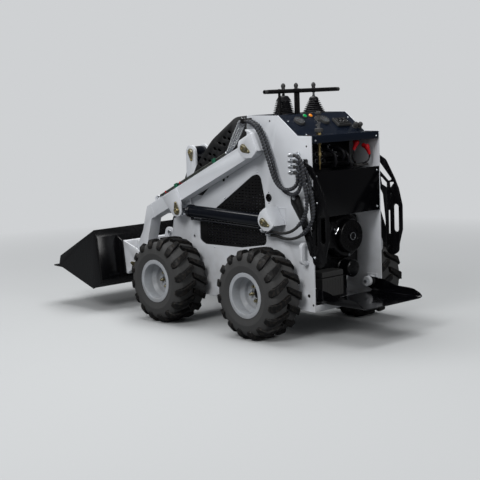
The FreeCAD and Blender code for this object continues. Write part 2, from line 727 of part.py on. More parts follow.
def make_rim(name, x, y, z, sign):
    """Makes one rim with its recessed disc, hub flange and five studs."""
    half = s("RimWidth") / 2
    seat = s("RimSeatDia") / 2
    wall = s("RimWall")
    flange = s("RimFlangeDia") / 2
    drop = seat - s("RimDrop")
    rim = turned("Rim", x, y, z, [
        (flange, half), (flange, half - 8), (seat, half - 14), (seat, half - 60),
        (drop, half - 76), (drop, -(half - 76)), (seat, -(half - 60)),
        (seat, -(half - 14)), (flange, -(half - 8)), (flange, -half),
        (seat - wall, -half), (seat - wall, -(half - 56)), (drop - wall, -(half - 74)),
        (drop - wall, half - 74), (seat - wall, half - 56), (seat - wall, half),
    ])
    face = half - s("DiscInset")
    thick = s("HubThick")
    low = face - wall if sign > 0 else -face
    disc = rod("Disc", x, y + low, z, drop - wall / 2, wall)
    bore = rod("DiscBore", x, y + low - wall, z, s("DiscBoreDia") / 2, wall * 3)
    hub_low = low - thick if sign > 0 else low + wall
    hub = rod("Hub", x, y + hub_low, z, s("HubDia") / 2, thick)
    studs = []
    for index in range(5):
        angle = 90 + 72 * index
        stud_low = low if sign > 0 else low - s("StudLength") + wall
        studs.append(rod("Stud", x + s("StudCircle") / 2 * cosine(angle), y + stud_low,
                         z + s("StudCircle") / 2 * sine(angle), s("StudDia") / 2,
                         s("StudLength")))
    keep(f"rim_{name}", fuse("RimWhole", [rim, cut("DiscCut", disc, [bore]), hub] + studs))


def make_tower():
    """Makes the boom and lift-cylinder brackets outside the hull plates, and their pins."""
    gap = bracket_y - s("LugPlate") / 2 - s("HullHalf")
    middle = s("HullHalf") + gap / 2
    pin_x, pin_z = s("BoomPinX"), s("BoomPinZ")
    base_x, base_z = s("LiftBaseX"), s("LiftBaseZ")
    boom_brackets = []
    lift_brackets = []
    for sign in (1, -1):
        face = plate("BoomBracket", bracket_y * sign, s("LugPlate"), [[
            (pin_x - 55, pin_z + 79, 6), (pin_x - 98, pin_z - 12, 10), (pin_x - 60, pin_z - 49, 20),
            (pin_x - 2, pin_z - 53, 40), (pin_x + 48, pin_z - 14, 40), (pin_x + 36, pin_z + 36, 20),
        ]], [(pin_x, pin_z, pin_radius)])
        wall = plate("BoomBracketWall", middle * sign, gap, [[
            (pin_x - 98, pin_z - 12), (pin_x - 90, pin_z - 12), (pin_x - 47, pin_z + 79),
            (pin_x - 55, pin_z + 79),
        ]])
        roof = plate("BoomBracketRoof", middle * sign, gap, [[
            (pin_x - 55, pin_z + 79), (pin_x - 7, pin_z + 96), (pin_x - 7, pin_z + 88),
            (pin_x - 51, pin_z + 71),
        ]])
        boom_brackets.append(fuse("BoomBracketWhole", [face, wall, roof]))
        lift_face = plate("LiftBracket", bracket_y * sign, s("LugPlate"), [[
            (base_x - 15, base_z + 75, 8), (base_x - 76, base_z - 17, 10),
            (base_x - 40, base_z - 45, 20), (base_x, base_z - 44, 40), (base_x + 46, base_z, 40),
            (base_x + 20, base_z + 50, 16),
        ]], [(base_x, base_z, pin_radius)])
        lift_wall = plate("LiftBracketWall", middle * sign, gap, [[
            (base_x - 15, base_z + 75), (base_x - 76, base_z - 17), (base_x - 68, base_z - 17),
            (base_x - 7, base_z + 75),
        ]])
        lift_brackets.append(fuse("LiftBracketWhole", [lift_face, lift_wall]))
    keep("boom_brackets", group("BoomBrackets", boom_brackets))
    keep("lift_brackets", group("LiftBrackets", lift_brackets))
    reach = gap + s("LugPlate") + s("PinHead")
    pins = []
    for sign in (1, -1):
        for x, z in ((pin_x, pin_z), (base_x, base_z)):
            low = s("HullHalf") if sign > 0 else -(s("HullHalf") + reach)
            pins.append(rod("HullPin", x, low, z, pin_radius, reach))
    keep("hull_pins", group("HullPins", pins))


def on_arm(back, below):
    """Gives the point this far back from an arm's elbow and this far below its top edge."""
    slope = s("ArmSlope")
    run = 1 / root(1 + slope * slope)
    x = s("ElbowX") - run * back - slope * run * below
    z = s("ElbowZ") + slope * run * back - run * below
    return x, z


def arm_outline():
    """Gives the outline of one lift arm. Columns: X, Z, radius."""
    slope = s("ArmSlope")
    rear_x = s("BoomPinX") - 32
    rear_z = s("ElbowZ") + (s("ElbowX") - rear_x) * slope
    square = s("ArmDepth") / (1 + slope * slope)
    inner_x = s("ElbowX") - 37
    inner_z = s("ElbowZ") + 37 * slope - s("ArmDepth")
    tip_x, tip_z = s("ToolPinX"), s("ToolPinZ")
    return [
        (rear_x, rear_z, 36), (rear_x - slope * square, rear_z - square, 36),
        (inner_x, inner_z, 10), (s("ElbowX") + 2, s("ElbowZ") - 197, 40),
        (tip_x - 42, tip_z - 36, 34), (tip_x + 42, tip_z - 36, 34),
        (tip_x + 18, tip_z + 100, 20), (s("ElbowX") + 45, s("ElbowZ") - 140, 20),
        (s("ElbowX"), s("ElbowZ"), 14),
    ]


def arm_eye():
    """Gives the outline of the lashing eye on top of an arm. Columns: X, Z, radius."""
    return [(*on_arm(50, 6), 0), (*on_arm(56, -34), 14), (*on_arm(92, -34), 14), (*on_arm(98, 6), 0)]


def make_boom():
    """Makes the two arms with their lift lugs, the cross tube with the tilt ears, and pins."""
    thick = s("LugPlate")
    rod_x, rod_z = s("LiftRodX"), s("LiftRodZ")
    lug = [
        (rod_x + 128, rod_z + 68), (rod_x + 6, rod_z + 128), (rod_x - 30, rod_z + 46, 30),
        (rod_x - 32, rod_z - 32, 30), (rod_x + 34, rod_z - 32, 30),
    ]
    outer = arm_inner + s("ArmWidth") + thick / 2
    inner = arm_inner + thick / 2
    pins = []
    for side, sign in sides():
        arm = plate(f"Arm{side}", arm_y * sign, s("ArmWidth"), [arm_outline()], [
            (s("BoomPinX"), s("BoomPinZ"), pin_hole), (s("ToolPinX"), s("ToolPinZ"), pin_hole),
        ])
        lugs = [plate("LiftLug", y * sign, thick, [lug], [(rod_x, rod_z, pin_radius)])
                for y in (outer, inner)]
        eye_x, eye_z = on_arm(74, -18)
        eye = plate("ArmEye", arm_y * sign, s("EyeThick"), [arm_eye()],
                    [(eye_x, eye_z, s("EyeHoleDia") / 2)])
        keep(f"arm_{side}", fuse("ArmWhole", [arm, eye] + lugs))
        for near, reach in ((arm_inner, thick), (outer - thick / 2, thick + s("PinHead"))):
            low = near if sign > 0 else -(near + reach)
            pins.append(rod("LiftPin", rod_x, low, rod_z, pin_radius, reach))
    cross = plate("CrossTube", 0, arm_inner * 2, [[
        on_arm(14, 8), on_arm(80, 8), on_arm(80, 62), on_arm(14, 62),
    ]])
    top_x, top_z = s("TiltBaseX"), s("TiltBaseZ")
    ears = [plate("TiltEar", s("TiltEarY") * sign, s("TiltEarThick"), [[
        on_arm(74, 20), on_arm(18, 20), (top_x + 42, top_z - 60, 30), (top_x + 42, top_z + 42, 40),
        (top_x - 42, top_z + 42, 40), (top_x - 42, top_z - 120, 60),
    ]], [(top_x, top_z, pin_radius)]) for sign in (1, -1)]
    keep("boom_cross_tube", fuse("BoomCross", [cross] + ears))
    half = s("TiltEarY") + s("TiltEarThick") / 2 + s("PinHead")
    pins.append(rod("TiltPin", top_x, -half, top_z, pin_radius, half * 2))
    keep("boom_pins", group("BoomPins", pins))
    make_boom_pipes()


def make_boom_pipes():
    """Makes the two pipes on top of the left arm with the clamps that hold them."""
    radius = s("PipeDia") / 2
    lean = FreeCAD.Rotation(FreeCAD.Vector(0, 1, 0),
                            90 + math.degrees(math.atan(number(s("ArmSlope")))))
    parts = []
    for y in (arm_inner + 49, arm_inner + 62):
        x, z = on_arm(s("PipeRear"), -s("PipeRise"))
        parts.append(rod("BoomPipe", x, y, z, radius, s("PipeRear") - s("PipeFront"), lean))
    high = s("PipeClampHeight")
    for back in (281, 638):
        parts.append(plate("PipeClamp", arm_inner + 55, 34, [[
            on_arm(back, 0), on_arm(back + 24, 0), on_arm(back + 24, -high), on_arm(back, -high),
        ]]))
    keep("boom_pipes", fuse("BoomPipes", parts))


def cylinder(name, y, base, tip, barrel_dia, rod_dia, barrel_end, base_width, piped=False):
    """Makes a hydraulic cylinder: a hollow barrel with its eye, and a rod with its eye."""
    ax, az = base
    bx, bz = tip
    run = math.hypot(number(bx) - number(ax), number(bz) - number(az))
    angle = math.degrees(math.atan2(number(bz) - number(az), number(bx) - number(ax)))
    turn = FreeCAD.Rotation(FreeCAD.Vector(0, 1, 0), 90 - angle)
    upright = FreeCAD.Rotation(FreeCAD.Vector(0, 1, 0), 180 - angle)
    ux, uz = math.cos(math.radians(angle)), math.sin(math.radians(angle))

    def along(part, start, end, radius, below=0.0):
        return rod(name + part, ax + ux * start + uz * below, y, az + uz * start - ux * below,
                   radius, end - start, turn)

    radius = s("EyeRadius")
    tube = along("Tube", radius - 8, barrel_end, barrel_dia / 2)
    gland = along("Gland", barrel_end - s("GlandLength"), barrel_end, barrel_dia / 2 + 2)
    eye = rod(name + "Eye", ax, y - base_width / 2, az, radius, base_width)
    hole = rod(name + "EyeHole", ax, y - base_width, az, pin_hole, base_width * 2)
    bore = along("Bore", radius + 10, barrel_end + 5, rod_dia / 2 + s("RodGap"))
    solids = [tube, gland, eye]
    if piped:
        drop = barrel_dia / 2 + 10
        solids.append(along("Pipe", 70, barrel_end - 16, s("PipeDia") / 2, drop))
        for start in (76, barrel_end - 22):
            solids.append(rod(name + "Port", ax + ux * start + uz * (barrel_dia / 2 - 4), y,
                              az + uz * start - ux * (barrel_dia / 2 - 4), 9, 20, upright))
    keep(name + "_barrel", cut(name + "Barrel", fuse(name + "BarrelRaw", solids), [hole, bore]))
    width = s("EyeWidth")
    shaft = along("Shaft", radius + 10 + s("RodRest"), run - radius + 12, rod_dia / 2)
    rod_eye = rod(name + "RodEye", bx, y - width / 2, bz, radius - 2, width)
    rod_hole = rod(name + "RodEyeHole", bx, y - width, bz, pin_hole, width * 2)
    keep(name + "_rod", cut(name + "Rod", fuse(name + "RodRaw", [shaft, rod_eye]), [rod_hole]))


def make_cylinders():
    """Makes the two lift cylinders and the tilt cylinder."""
    base = (s("LiftBaseX"), s("LiftBaseZ"))
    tip = (s("LiftRodX"), s("LiftRodZ"))
    for side, sign in sides():
        cylinder(f"lift_{side}", arm_y * sign, base, tip, s("LiftBarrelDia"), s("LiftRodDia"),
                 s("LiftBarrelEnd"), s("EyeWidth"), piped=True)
    tilt_width = s("TiltEarY") * 2 - s("TiltEarThick") - s("EyeGap") * 2
    cylinder("tilt", Size(0, "0"), (s("TiltBaseX"), s("TiltBaseZ")),
             (s("TiltRodX"), s("TiltRodZ")), s("TiltBarrelDia"), s("TiltRodDia"),
             s("TiltBarrelEnd"), tilt_width)


def rolled(points):
    """Turns points of the level bucket, counted from its pivot, to where it stands."""
    turn_cos, turn_sin = cosine(s("BucketCurl")), sine(s("BucketCurl"))
    rows = []
    for across, up, *rest in points:
        x = s("ToolPinX") + turn_cos * across - turn_sin * up
        z = s("ToolPinZ") + turn_sin * across + turn_cos * up
        rows.append((x, z, *rest))
    return rows


def leaning(up, ahead=0.0):
    """Gives a point of the frame's front plane in the level tool, moved ahead by a length."""
    return s("ToolPlateX") + s("ToolLean") * up + ahead, up


def make_tool():
    """Makes the quick-attach frame with its ears and pins, and the bucket with its receiver."""
    thick = s("ToolPlateThick")
    low, high = s("ToolPlateLow"), s("ToolPlateHigh")
    outer_ear = arm_inner + s("ArmWidth") + s("ArmGap") + s("LugPlate") / 2
    inner_ear = arm_inner - s("ArmGap") - s("LugPlate") / 2
    width = (outer_ear + s("LugPlate") / 2) * 2
    face = plate("ToolFace", 0, width, [rolled([
        leaning(low), leaning(high), leaning(high, -thick), leaning(low, -thick),
    ])])
    parts = [face]
    for sign in (1, -1):
        for y in (inner_ear, outer_ear):
            parts.append(plate("ToolEar", y * sign, s("LugPlate"), [rolled([
                (-34, -34, 32), (34, -34, 20), leaning(low, -4), leaning(high, -4),
                (10, 95, 40), (-34, 20, 30),
            ])], [(s("ToolPinX"), s("ToolPinZ"), pin_radius)]))
        rod_ear = [(s("TiltRodX") - 34, s("TiltRodZ") - 30, 28),
                   (s("TiltRodX") - 34, s("TiltRodZ") + 34, 32),
                   (s("TiltRodX") + 34, s("TiltRodZ") + 34, 32)]
        parts.append(plate("RodEar", s("RodEarY") * sign, s("LugPlate"), [
            rolled([leaning(high - 4, -4), leaning(0, -4)]) + rod_ear,
        ], [(s("TiltRodX"), s("TiltRodZ"), pin_radius)]))
    keep("quick_attach", fuse("QuickAttach", parts))
    pins = []
    for sign in (1, -1):
        near = inner_ear - s("LugPlate") / 2 - 5
        reach = outer_ear + s("LugPlate") / 2 + 5 - near
        pins.append(rod("ToolPin", s("ToolPinX"), near if sign > 0 else -(near + reach),
                        s("ToolPinZ"), pin_radius, reach))
        near = s("RodEarY") - s("LugPlate") / 2
        reach = s("LugPlate") + 5
        pins.append(rod("RodPin", s("TiltRodX"), near if sign > 0 else -(near + reach),
                        s("TiltRodZ"), pin_radius, reach))
    keep("tool_pins", group("ToolPins", pins))
    make_bucket()


def make_bucket():
    """Makes the bucket: bent shell, two sides and the receiver that hooks on the frame."""
    half = s("BucketHalf")
    skin = s("BucketPlate")
    low, high = s("ToolPlateLow"), s("ToolPlateHigh")
    shell = plate("BucketShell", 0, half * 2, [rolled([
        (261, 138), (224, 108), (112, -139, 40), (182, -205, 60), (513, -205), (598, -229),
        (598, -221), (513, -197), (186, -197, 56), (121, -138, 36), (231, 104), (268, 132),
    ])])
    walls = [plate("BucketSide", (half - skin / 2) * sign, skin, [rolled([
        (261, 138), (224, 108), (112, -139, 40), (182, -205, 60), (548, -205), (549, -143, 10),
    ])]) for sign in (1, -1)]
    hook = plate("Receiver", 0, s("ReceiverHalf") * 2, [rolled([
        leaning(low), leaning(high), leaning(high, skin), leaning(low, skin),
    ])])
    ribs = [plate("ReceiverRib", y, s("LugPlate"), [rolled([
        leaning(low, skin / 2), leaning(high, skin / 2), (228, 106), (133, -98),
    ])]) for y in (s("ReceiverHalf") - s("LugPlate") / 2, s("LugPlate") / 2 - s("ReceiverHalf"),
                   s("ReceiverHalf") / 3, -s("ReceiverHalf") / 3)]
    keep("bucket", fuse("Bucket", [shell, hook] + walls + ribs))


def make_foot_platform():
    """Makes the folding foot platform with its swept wings, and the hinge bosses on the hull."""
    half = foot_half
    sheet_top = s("FootZ")
    low = sheet_top - s("FootThick")
    pin_x, pin_z, rear = s("FootPinX"), s("FootPinZ"), s("FootRearX")
    tread = block("FootSheet", rear, -half, low, pin_x - 8 - rear, half * 2, s("FootThick"))
    wings = [plate("FootWing", (half + s("FootThick") / 2) * sign, s("FootThick"), [[
        (rear, low), (pin_x - 24, low), (pin_x + 24, pin_z - 24, 22), (pin_x + 24, pin_z + 24, 22),
        (pin_x - 110, pin_z + 20, 50), (pin_x - 166, pin_z - 5, 40), (pin_x - 300, pin_z - 5, 60),
        (rear + 10, sheet_top + 14, 10), (rear, sheet_top + 4),
    ]], [(pin_x, pin_z, 10.05)]) for sign in (1, -1)]
    keep("foot_platform", fuse("FootPlatform", [tread] + wings))
    bosses = []
    for sign in (1, -1):
        reach = inside - half - s("FootThick") - 1
        start = (half + s("FootThick") + 1) if sign > 0 else -inside
        boss = rod("FootBoss", pin_x, start, pin_z, 30, reach)
        pad = block("FootPad", pin_x - 36, (inside - 8) if sign > 0 else -inside, pin_z - 46,
                    72, 8, 84)
        deep = s("HingeDiscThick")
        pin_low = (half - deep) if sign > 0 else -(half + s("FootThick") + 3)
        pin = rod("FootPin", pin_x, pin_low, pin_z, 10, deep + s("FootThick") + 3)
        disc_low = (half - deep) if sign > 0 else -(half - s("HubGap"))
        disc = rod("FootDisc", pin_x, disc_low, pin_z, s("HingeDiscDia") / 2, deep - s("HubGap"))
        bosses.append(fuse("FootBossWhole", [boss, pad, pin, disc]))
    keep("platform_hinges", group("PlatformHinges", bosses))


def make_guards():
    """Makes the two slotted hip guards with their stays."""
    outline = [
        (-575, 930, 30), (-660, 885, 40), (-718, 790, 30), (-745, 735, 40), (-768, 648, 40),
        (-768, 520, 30), (-744, 440, 30), (-742, 400, 30), (-700, 376, 34), (-655, 398, 30),
        (-655, 560, 30), (-640, 700, 20), (-600, 770, 20), (-575, 870, 30),
    ]
    slots = [
        [(-618, 874, 8), (-704, 780, 6), (-676, 772, 6), (-600, 838, 6)],
        [(-684, 765, 4), (-722, 768, 4), (-688, 732, 4)],
        [(-616, 806, 4), (-668, 762, 4), (-668, 734, 4), (-630, 752, 4)],
        [(-711, 505, 16), (-711, 652, 16), (-746, 652, 16), (-746, 505, 16)],
        [(-673, 490, 6), (-673, 618, 6), (-688, 618, 6), (-688, 490, 6)],
    ]
    holes = [(-671, 431, 6), (-604, 895, 6), (-695, 706, 5)]
    half = s("GuardThick") / 2
    for side, sign in sides():
        guard = plate("Guard", guard_y * sign, s("GuardThick"), [outline] + slots, holes)
        stay = plate("GuardStay", guard_y * sign, s("GuardThick"), [
            [(-508, 746, 25), (-562, 746, 25), (-602, 650, 40), (-668, 480), (-668, 420),
             (-636, 440), (-572, 610, 40), (-510, 696, 30)],
        ])
        gap = guard_y - half - s("HullHalf")
        spacers = []
        for x, z in ((-604, 912), (-528, 718), (-628, 800)):
            low = s("HullHalf") if sign > 0 else -(s("HullHalf") + gap + 1)
            spacers.append(rod("GuardSpacer", x, low, z, 10, gap + 1))
        keep(f"hip_guard_{side}", fuse("GuardWhole", [guard, stay] + spacers))


def make_controls():
    """Makes the levers with their bellows, the handle bar and the instruments."""
    deck = s("DeckZ")
    upright = FreeCAD.Rotation()
    levers = []
    boots = []
    for alias, base, first, step, count, pitch, low_top, high_top, top_height in BOOTS:
        y, x, height = s(alias), s("LeverX"), s("BootHeight")
        rings = [cone("BellowsBase", x, y, deck, base, base, height)]
        for index in range(count):
            wide = first - step * index
            rings.append(cone("BellowsRing", x, y, deck + height + pitch * index, wide, wide - 7, pitch))
        top = height + pitch * count
        rings.append(cone("BellowsTop", x, y, deck + top, low_top, high_top, top_height))
        boots.append(fuse("Bellows", rings))
        top = top + top_height
        stick = rod("Lever", x, y, deck + top + s("RodGap"), 7, 140 - top, upright)
        knob = rod("LeverKnob", x, y, deck + 128, 12, 34, upright)
        levers.append(fuse("LeverWhole", [stick, knob]))
    middle = s("LeverX") - 5
    strip = block("MiddleLever", middle, 6, deck, 8, 16, 130)
    grip = rod("MiddleKnob", middle + 4, 14, deck + 126, 11, 38, upright)
    levers.append(fuse("MiddleWhole", [strip, grip]))
    keep("lever_bellows", group("LeverBellows", boots))
    keep("levers", group("Levers", levers))
    half = s("HullHalf") + s("BarOverhang")
    x, wide = s("BarX"), s("LegWidth")
    bar = rod("Bar", x, -half, s("BarZ"), s("BarDia") / 2, half * 2)
    legs = [block("BarLeg", x - wide / 2, y, deck, wide, wide, s("BarZ") - deck) for y in (167, 50, 27)]
    keep("handle_bar", fuse("HandleBar", [bar] + legs))
    make_instruments()


def make_instruments():
    """Makes the gauges, lamps, key, switches and knobs, seated square on the instrument slope."""
    run, fall = s("SlopeTopX") - s("SlopeFootX"), s("DeckZ") - s("SlopeFootZ")
    angle = math.degrees(math.atan2(number(fall), number(run)))
    square = FreeCAD.Rotation(FreeCAD.Vector(0, 1, 0), -angle)

    def on_slope(share):
        return s("SlopeTopX") - run * share, s("DeckZ") - fall * share

    parts = []
    for share, y, radius, height in SLOPE_FITTINGS:
        x, z = on_slope(share)
        parts.append(rod("SlopeFitting", x, y, z, radius, height, square))
    x, z = on_slope(0.72)
    panel = block("SwitchPanel", x, -186, z, 58, 100, 22, square)
    control = [rod("PushPull", -566, 124, s("SlopeFootZ") + low, radius, height, FreeCAD.Rotation())
               for low, radius, height in PUSH_PULL]
    keep("instruments", group("Instruments", parts + [panel, fuse("PushPullWhole", control)]))


def cone(name, x, y, z, low_radius, high_radius, height):
    """Makes an upright cone that stands on its wide end."""
    item = doc.addObject("Part::Cone", fresh(name))
    bind(item, "Radius1", low_radius)
    bind(item, "Radius2", high_radius)
    bind(item, "Height", height)
    place(item, x, y, z)
    return item


def make_handles():
    """Makes the bent grab handle on each hull plate."""
    face = s("HullHalf")
    reach = s("HandleReach")
    low, high = s("HandleZ"), s("HandleZ") + s("HandleHeight")
    parts = []
    for sign in (1, -1):
        body, sketch = sketched("Handle", "YZ_Plane", [[
            (face * sign, low), ((face + reach) * sign, low, 26), ((face + reach) * sign, high, 26),
            (face * sign, high), (face * sign, high - s("HandleThick")),
            ((face + reach - s("HandleThick")) * sign, high - s("HandleThick"), 10),
            ((face + reach - s("HandleThick")) * sign, low + s("HandleThick"), 10),
            (face * sign, low + s("HandleThick")),
        ]])
        pad = body.newObject("PartDesign::Pad", fresh("HandlePad"))
        pad.Profile = sketch
        bind(pad, "Length", s("HandleWidth"))
        place(body, s("HandleX") - s("HandleWidth") / 2, 0, 0)
        parts.append(body)
    keep("side_handles", group("SideHandles", parts))


def arc_points(start, end, centre):
    """Gives the middle point of the shorter arc from start to end about a centre."""
    middle = (start + end) / 2 - centre
    return centre + middle.normalize() * (start - centre).Length


def routed(points):
    """Joins the straight runs of a route by tangent arcs. Columns: X, Y, Z."""
    places = [FreeCAD.Vector(number(s("OriginX") + x), number(y), number(z)) for x, y, z in points]
    edges = []
    last = places[0]
    radii = []
    for before, corner, after in zip(places, places[1:], places[2:]):
        back, ahead = (before - corner), (after - corner)
        shorter = min(back.Length, ahead.Length)
        back.normalize()
        ahead.normalize()
        half = back.getAngle(ahead) / 2
        reach = ArcShare * shorter
        radius = reach * math.tan(half)
        start, end = corner + back * reach, corner + ahead * reach
        centre = corner + (back + ahead).normalize() * (radius / math.sin(half))
        edges.append(Part.LineSegment(last, start).toShape())
        edges.append(Part.Arc(start, arc_points(start, end, centre), end).toShape())
        radii.append(round(radius))
        last = end
    edges.append(Part.LineSegment(last, places[-1]).toShape())
    return Part.Wire(edges), radii


def hose(label, diameter, points):
    """Makes one hose as a tube along its route and prints its bends."""
    path, radii = routed(points)
    first = path.Edges[0]
    section = Part.Wire([Part.makeCircle(number(diameter) / 2, first.valueAt(first.FirstParameter),
                                         first.tangentAt(first.FirstParameter))])
    item = doc.addObject("Part::Feature", fresh("Hose"))
    item.Shape = path.makePipeShell([section], True, False)
    share = item.Shape.Volume / (math.pi * (number(diameter) / 2) ** 2 * path.Length)
    print(f"{label}: length {path.Length:.0f}, bends {radii}, volume share {share:.4f}")
    keep(label, item)


def make_hoses():
    """Makes the fittings on the left hull plate and the four wrapped hoses between them."""
    face = s("HullHalf")
    layer = face + s("FittingReach")
    bore = s("HoseDia") / 2
    solids = []
    fittings = []
    for index in range(4):
        z = s("FittingZ") - s("FittingPitch") * index
        fittings.append((s("FittingX"), z, layer))
    fittings.append((s("PortX"), s("PortZ"), layer))
    fittings.append((s("PortX") - 18, s("PortZ") - 23, face + s("FittingReach") - 22))
    for x, z, y in fittings:
        stem = rod("FittingStem", x, face, z, bore - 1, y - face)
        barrel = rod("FittingBarrel", x - s("FittingLength") + bore, y, z, bore,
                     s("FittingLength"), TURN_X)
        nut = rod("FittingNut", x, face, z, bore + 4, 8)
        solids.append(fuse("Fitting", [stem, barrel, nut]))
    clamp = block("HoseClamp", s("ClampX"), face, s("ClampZ") - 14, 24, 66, 28)
    solids.append(clamp)
    keep("hose_fittings", group("HoseFittings", solids))
    exit_x = s("FittingX") - s("FittingLength") + bore
    top = s("FittingZ")
    pitch = s("FittingPitch")
    inner, outer = face + 28, face + 54
    arch = [(-290, 1092), (-324, 1050), (-348, 998), (-371, 946), (-392, 891)]
    hose("hose_upper_inner", s("HoseDia"), [
        (s("ClampX"), inner, s("ClampZ")), (s("ClampX") - 26, inner, s("ClampZ"))]
         + [(x, inner, z) for x, z in arch]
         + [(-411, inner + 2, 836), (-440, inner + 6, 788), (-482, inner + 11, 755),
            (-534, inner + 18, 741), (-586, inner + 26, 752), (-616, inner + 32, 788),
            (-628, layer, 830), (-622, layer, 862),
            (exit_x - 26, layer, top - pitch * 2), (exit_x, layer, top - pitch * 2)])
    hose("hose_upper_outer", s("HoseDia"), [
        (s("ClampX"), outer, s("ClampZ")), (s("ClampX") - 26, outer, s("ClampZ"))]
         + [(x, outer, z + 1) for x, z in arch]
         + [(-411, outer, 842), (-436, outer, 800), (-476, outer + 4, 773), (-522, outer + 8, 766),
            (-566, layer, 776), (-598, layer, 800), (-604, layer, 832),
            (exit_x - 18, layer, top - pitch * 3), (exit_x, layer, top - pitch * 3)])
    hose("hose_lower_outer", s("HoseDia"), [
        (exit_x, layer, top), (exit_x - 30, layer, top), (-641, layer + 6, 904),
        (-651, layer + 8, 846), (-657, layer + 8, 795), (-668, layer + 8, 743),
        (-670, layer + 8, 690), (-654, layer + 8, 643), (-616, layer + 8, 600),
        (-570, layer + 6, 567), (-520, layer + 3, 549), (-465, layer, 543), (-405, layer, s("PortZ")),
        (s("PortX") - s("FittingLength") + bore, layer, s("PortZ"))])
    hose("hose_lower_inner", s("HoseDia"), [
        (exit_x, layer, top - pitch), (exit_x - 26, layer, top - pitch), (-638, layer - 16, 878),
        (-654, layer - 24, 828), (-662, layer - 24, 780), (-676, layer - 24, 734),
        (-686, layer - 22, 686), (-686, layer - 18, 641), (-666, layer - 14, 594),
        (-625, layer - 12, 553), (-575, layer - 12, 527), (-520, layer - 14, 515),
        (-465, layer - 18, 516), (-418, layer - 22, s("PortZ") - 23),
        (s("PortX") - 18 - s("FittingLength") + bore, layer - 22, s("PortZ") - 23)])


def write_parts():
    """Checks every object and writes each named piece to its own file."""
    doc.recompute()
    for item in doc.Objects:
        if "Invalid" in item.State or "Error" in item.State:
            raise RuntimeError(f"{item.Name} failed: {item.State}")
    os.makedirs("parts", exist_ok=True)
    for label, item in nodes.items():
        if item.Shape.isNull() or not item.Shape.isValid():
            raise RuntimeError(f"{label} has no valid shape")
        item.Shape.exportStep(os.path.join("parts", f"{label}.step"))
        box = item.Shape.BoundBox
        print(f"{label:24s} solids {len(item.Shape.Solids)}  x {box.XMin:8.1f} {box.XMax:8.1f}  "
              f"y {box.YMin:7.1f} {box.YMax:7.1f}  z {box.ZMin:7.1f} {box.ZMax:7.1f}")


make_hull()
make_grilles()
make_hood()
make_deck()
make_power()
make_wheels()
make_tower()
make_boom()
make_cylinders()
make_tool()
make_foot_platform()
make_guards()
make_controls()
make_handles()
make_hoses()
write_parts()
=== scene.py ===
"""Compact stand-on skid steer loader: its finishes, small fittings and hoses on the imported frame.

Places are given in millimetres from the middle of the wheelbase, at ground level, as on the frame's
drawing: +X to the bucket, +Y to the left, +Z up. Shape.finish turns them into the frame's metres.
"""
import json
import logging
import math
from collections.abc import Callable, Sequence
from dataclasses import dataclass, field
from enum import Enum

import bmesh
import bpy
from mathutils import Matrix, Vector


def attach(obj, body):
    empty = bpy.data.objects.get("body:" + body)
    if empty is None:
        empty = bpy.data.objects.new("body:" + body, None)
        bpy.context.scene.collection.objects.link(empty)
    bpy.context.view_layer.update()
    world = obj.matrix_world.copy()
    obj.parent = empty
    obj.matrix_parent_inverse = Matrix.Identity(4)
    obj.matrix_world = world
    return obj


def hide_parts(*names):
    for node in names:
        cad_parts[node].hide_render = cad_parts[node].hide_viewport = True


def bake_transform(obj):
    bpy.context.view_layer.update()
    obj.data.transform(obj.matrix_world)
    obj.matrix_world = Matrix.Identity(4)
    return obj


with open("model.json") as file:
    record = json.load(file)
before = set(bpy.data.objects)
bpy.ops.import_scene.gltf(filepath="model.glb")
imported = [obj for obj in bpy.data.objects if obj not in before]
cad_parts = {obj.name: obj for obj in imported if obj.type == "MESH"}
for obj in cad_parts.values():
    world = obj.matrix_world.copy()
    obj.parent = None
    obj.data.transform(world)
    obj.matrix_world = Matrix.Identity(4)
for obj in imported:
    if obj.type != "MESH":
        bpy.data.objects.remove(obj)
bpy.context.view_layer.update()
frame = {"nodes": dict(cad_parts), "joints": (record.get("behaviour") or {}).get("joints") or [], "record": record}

log = logging.getLogger("loader")

Point = Sequence[float]

BOOM_PIN_X = -240.0
IMAGE_SIDE = 480
MM = 0.001


def joint_place(name: str) -> Vector:
    """Finds where a joint of the frame turns.

    Args:
        name: the joint's name.

    Returns:
        The joint's place in the frame, in metres.
    """
    found = next(joint for joint in frame["joints"] if joint["name"] == name)
    return Vector(found["pos_m"])


SHIFT_X = joint_place("boom_lift").x / MM - BOOM_PIN_X


def placed(point: Point) -> Vector:
    """Turns a place in millimetres from the middle of the wheelbase into the frame's metres."""
    return Vector(((point[0] + SHIFT_X) * MM, point[1] * MM, point[2] * MM))


def linear(code: str) -> tuple[float, float, float, float]:
    """Turns an sRGB hex code into the linear colour that a shader reads.

    Args:
        code: six hex digits after a hash.

    Returns:
        Red, green, blue and a full alpha.
    """
    channels = [int(code[start:start + 2], 16) / 255 for start in (1, 3, 5)]
    bent = [c / 12.92 if c <= 0.04045 else ((c + 0.055) / 1.055) ** 2.4 for c in channels]
    return bent[0], bent[1], bent[2], 1.0


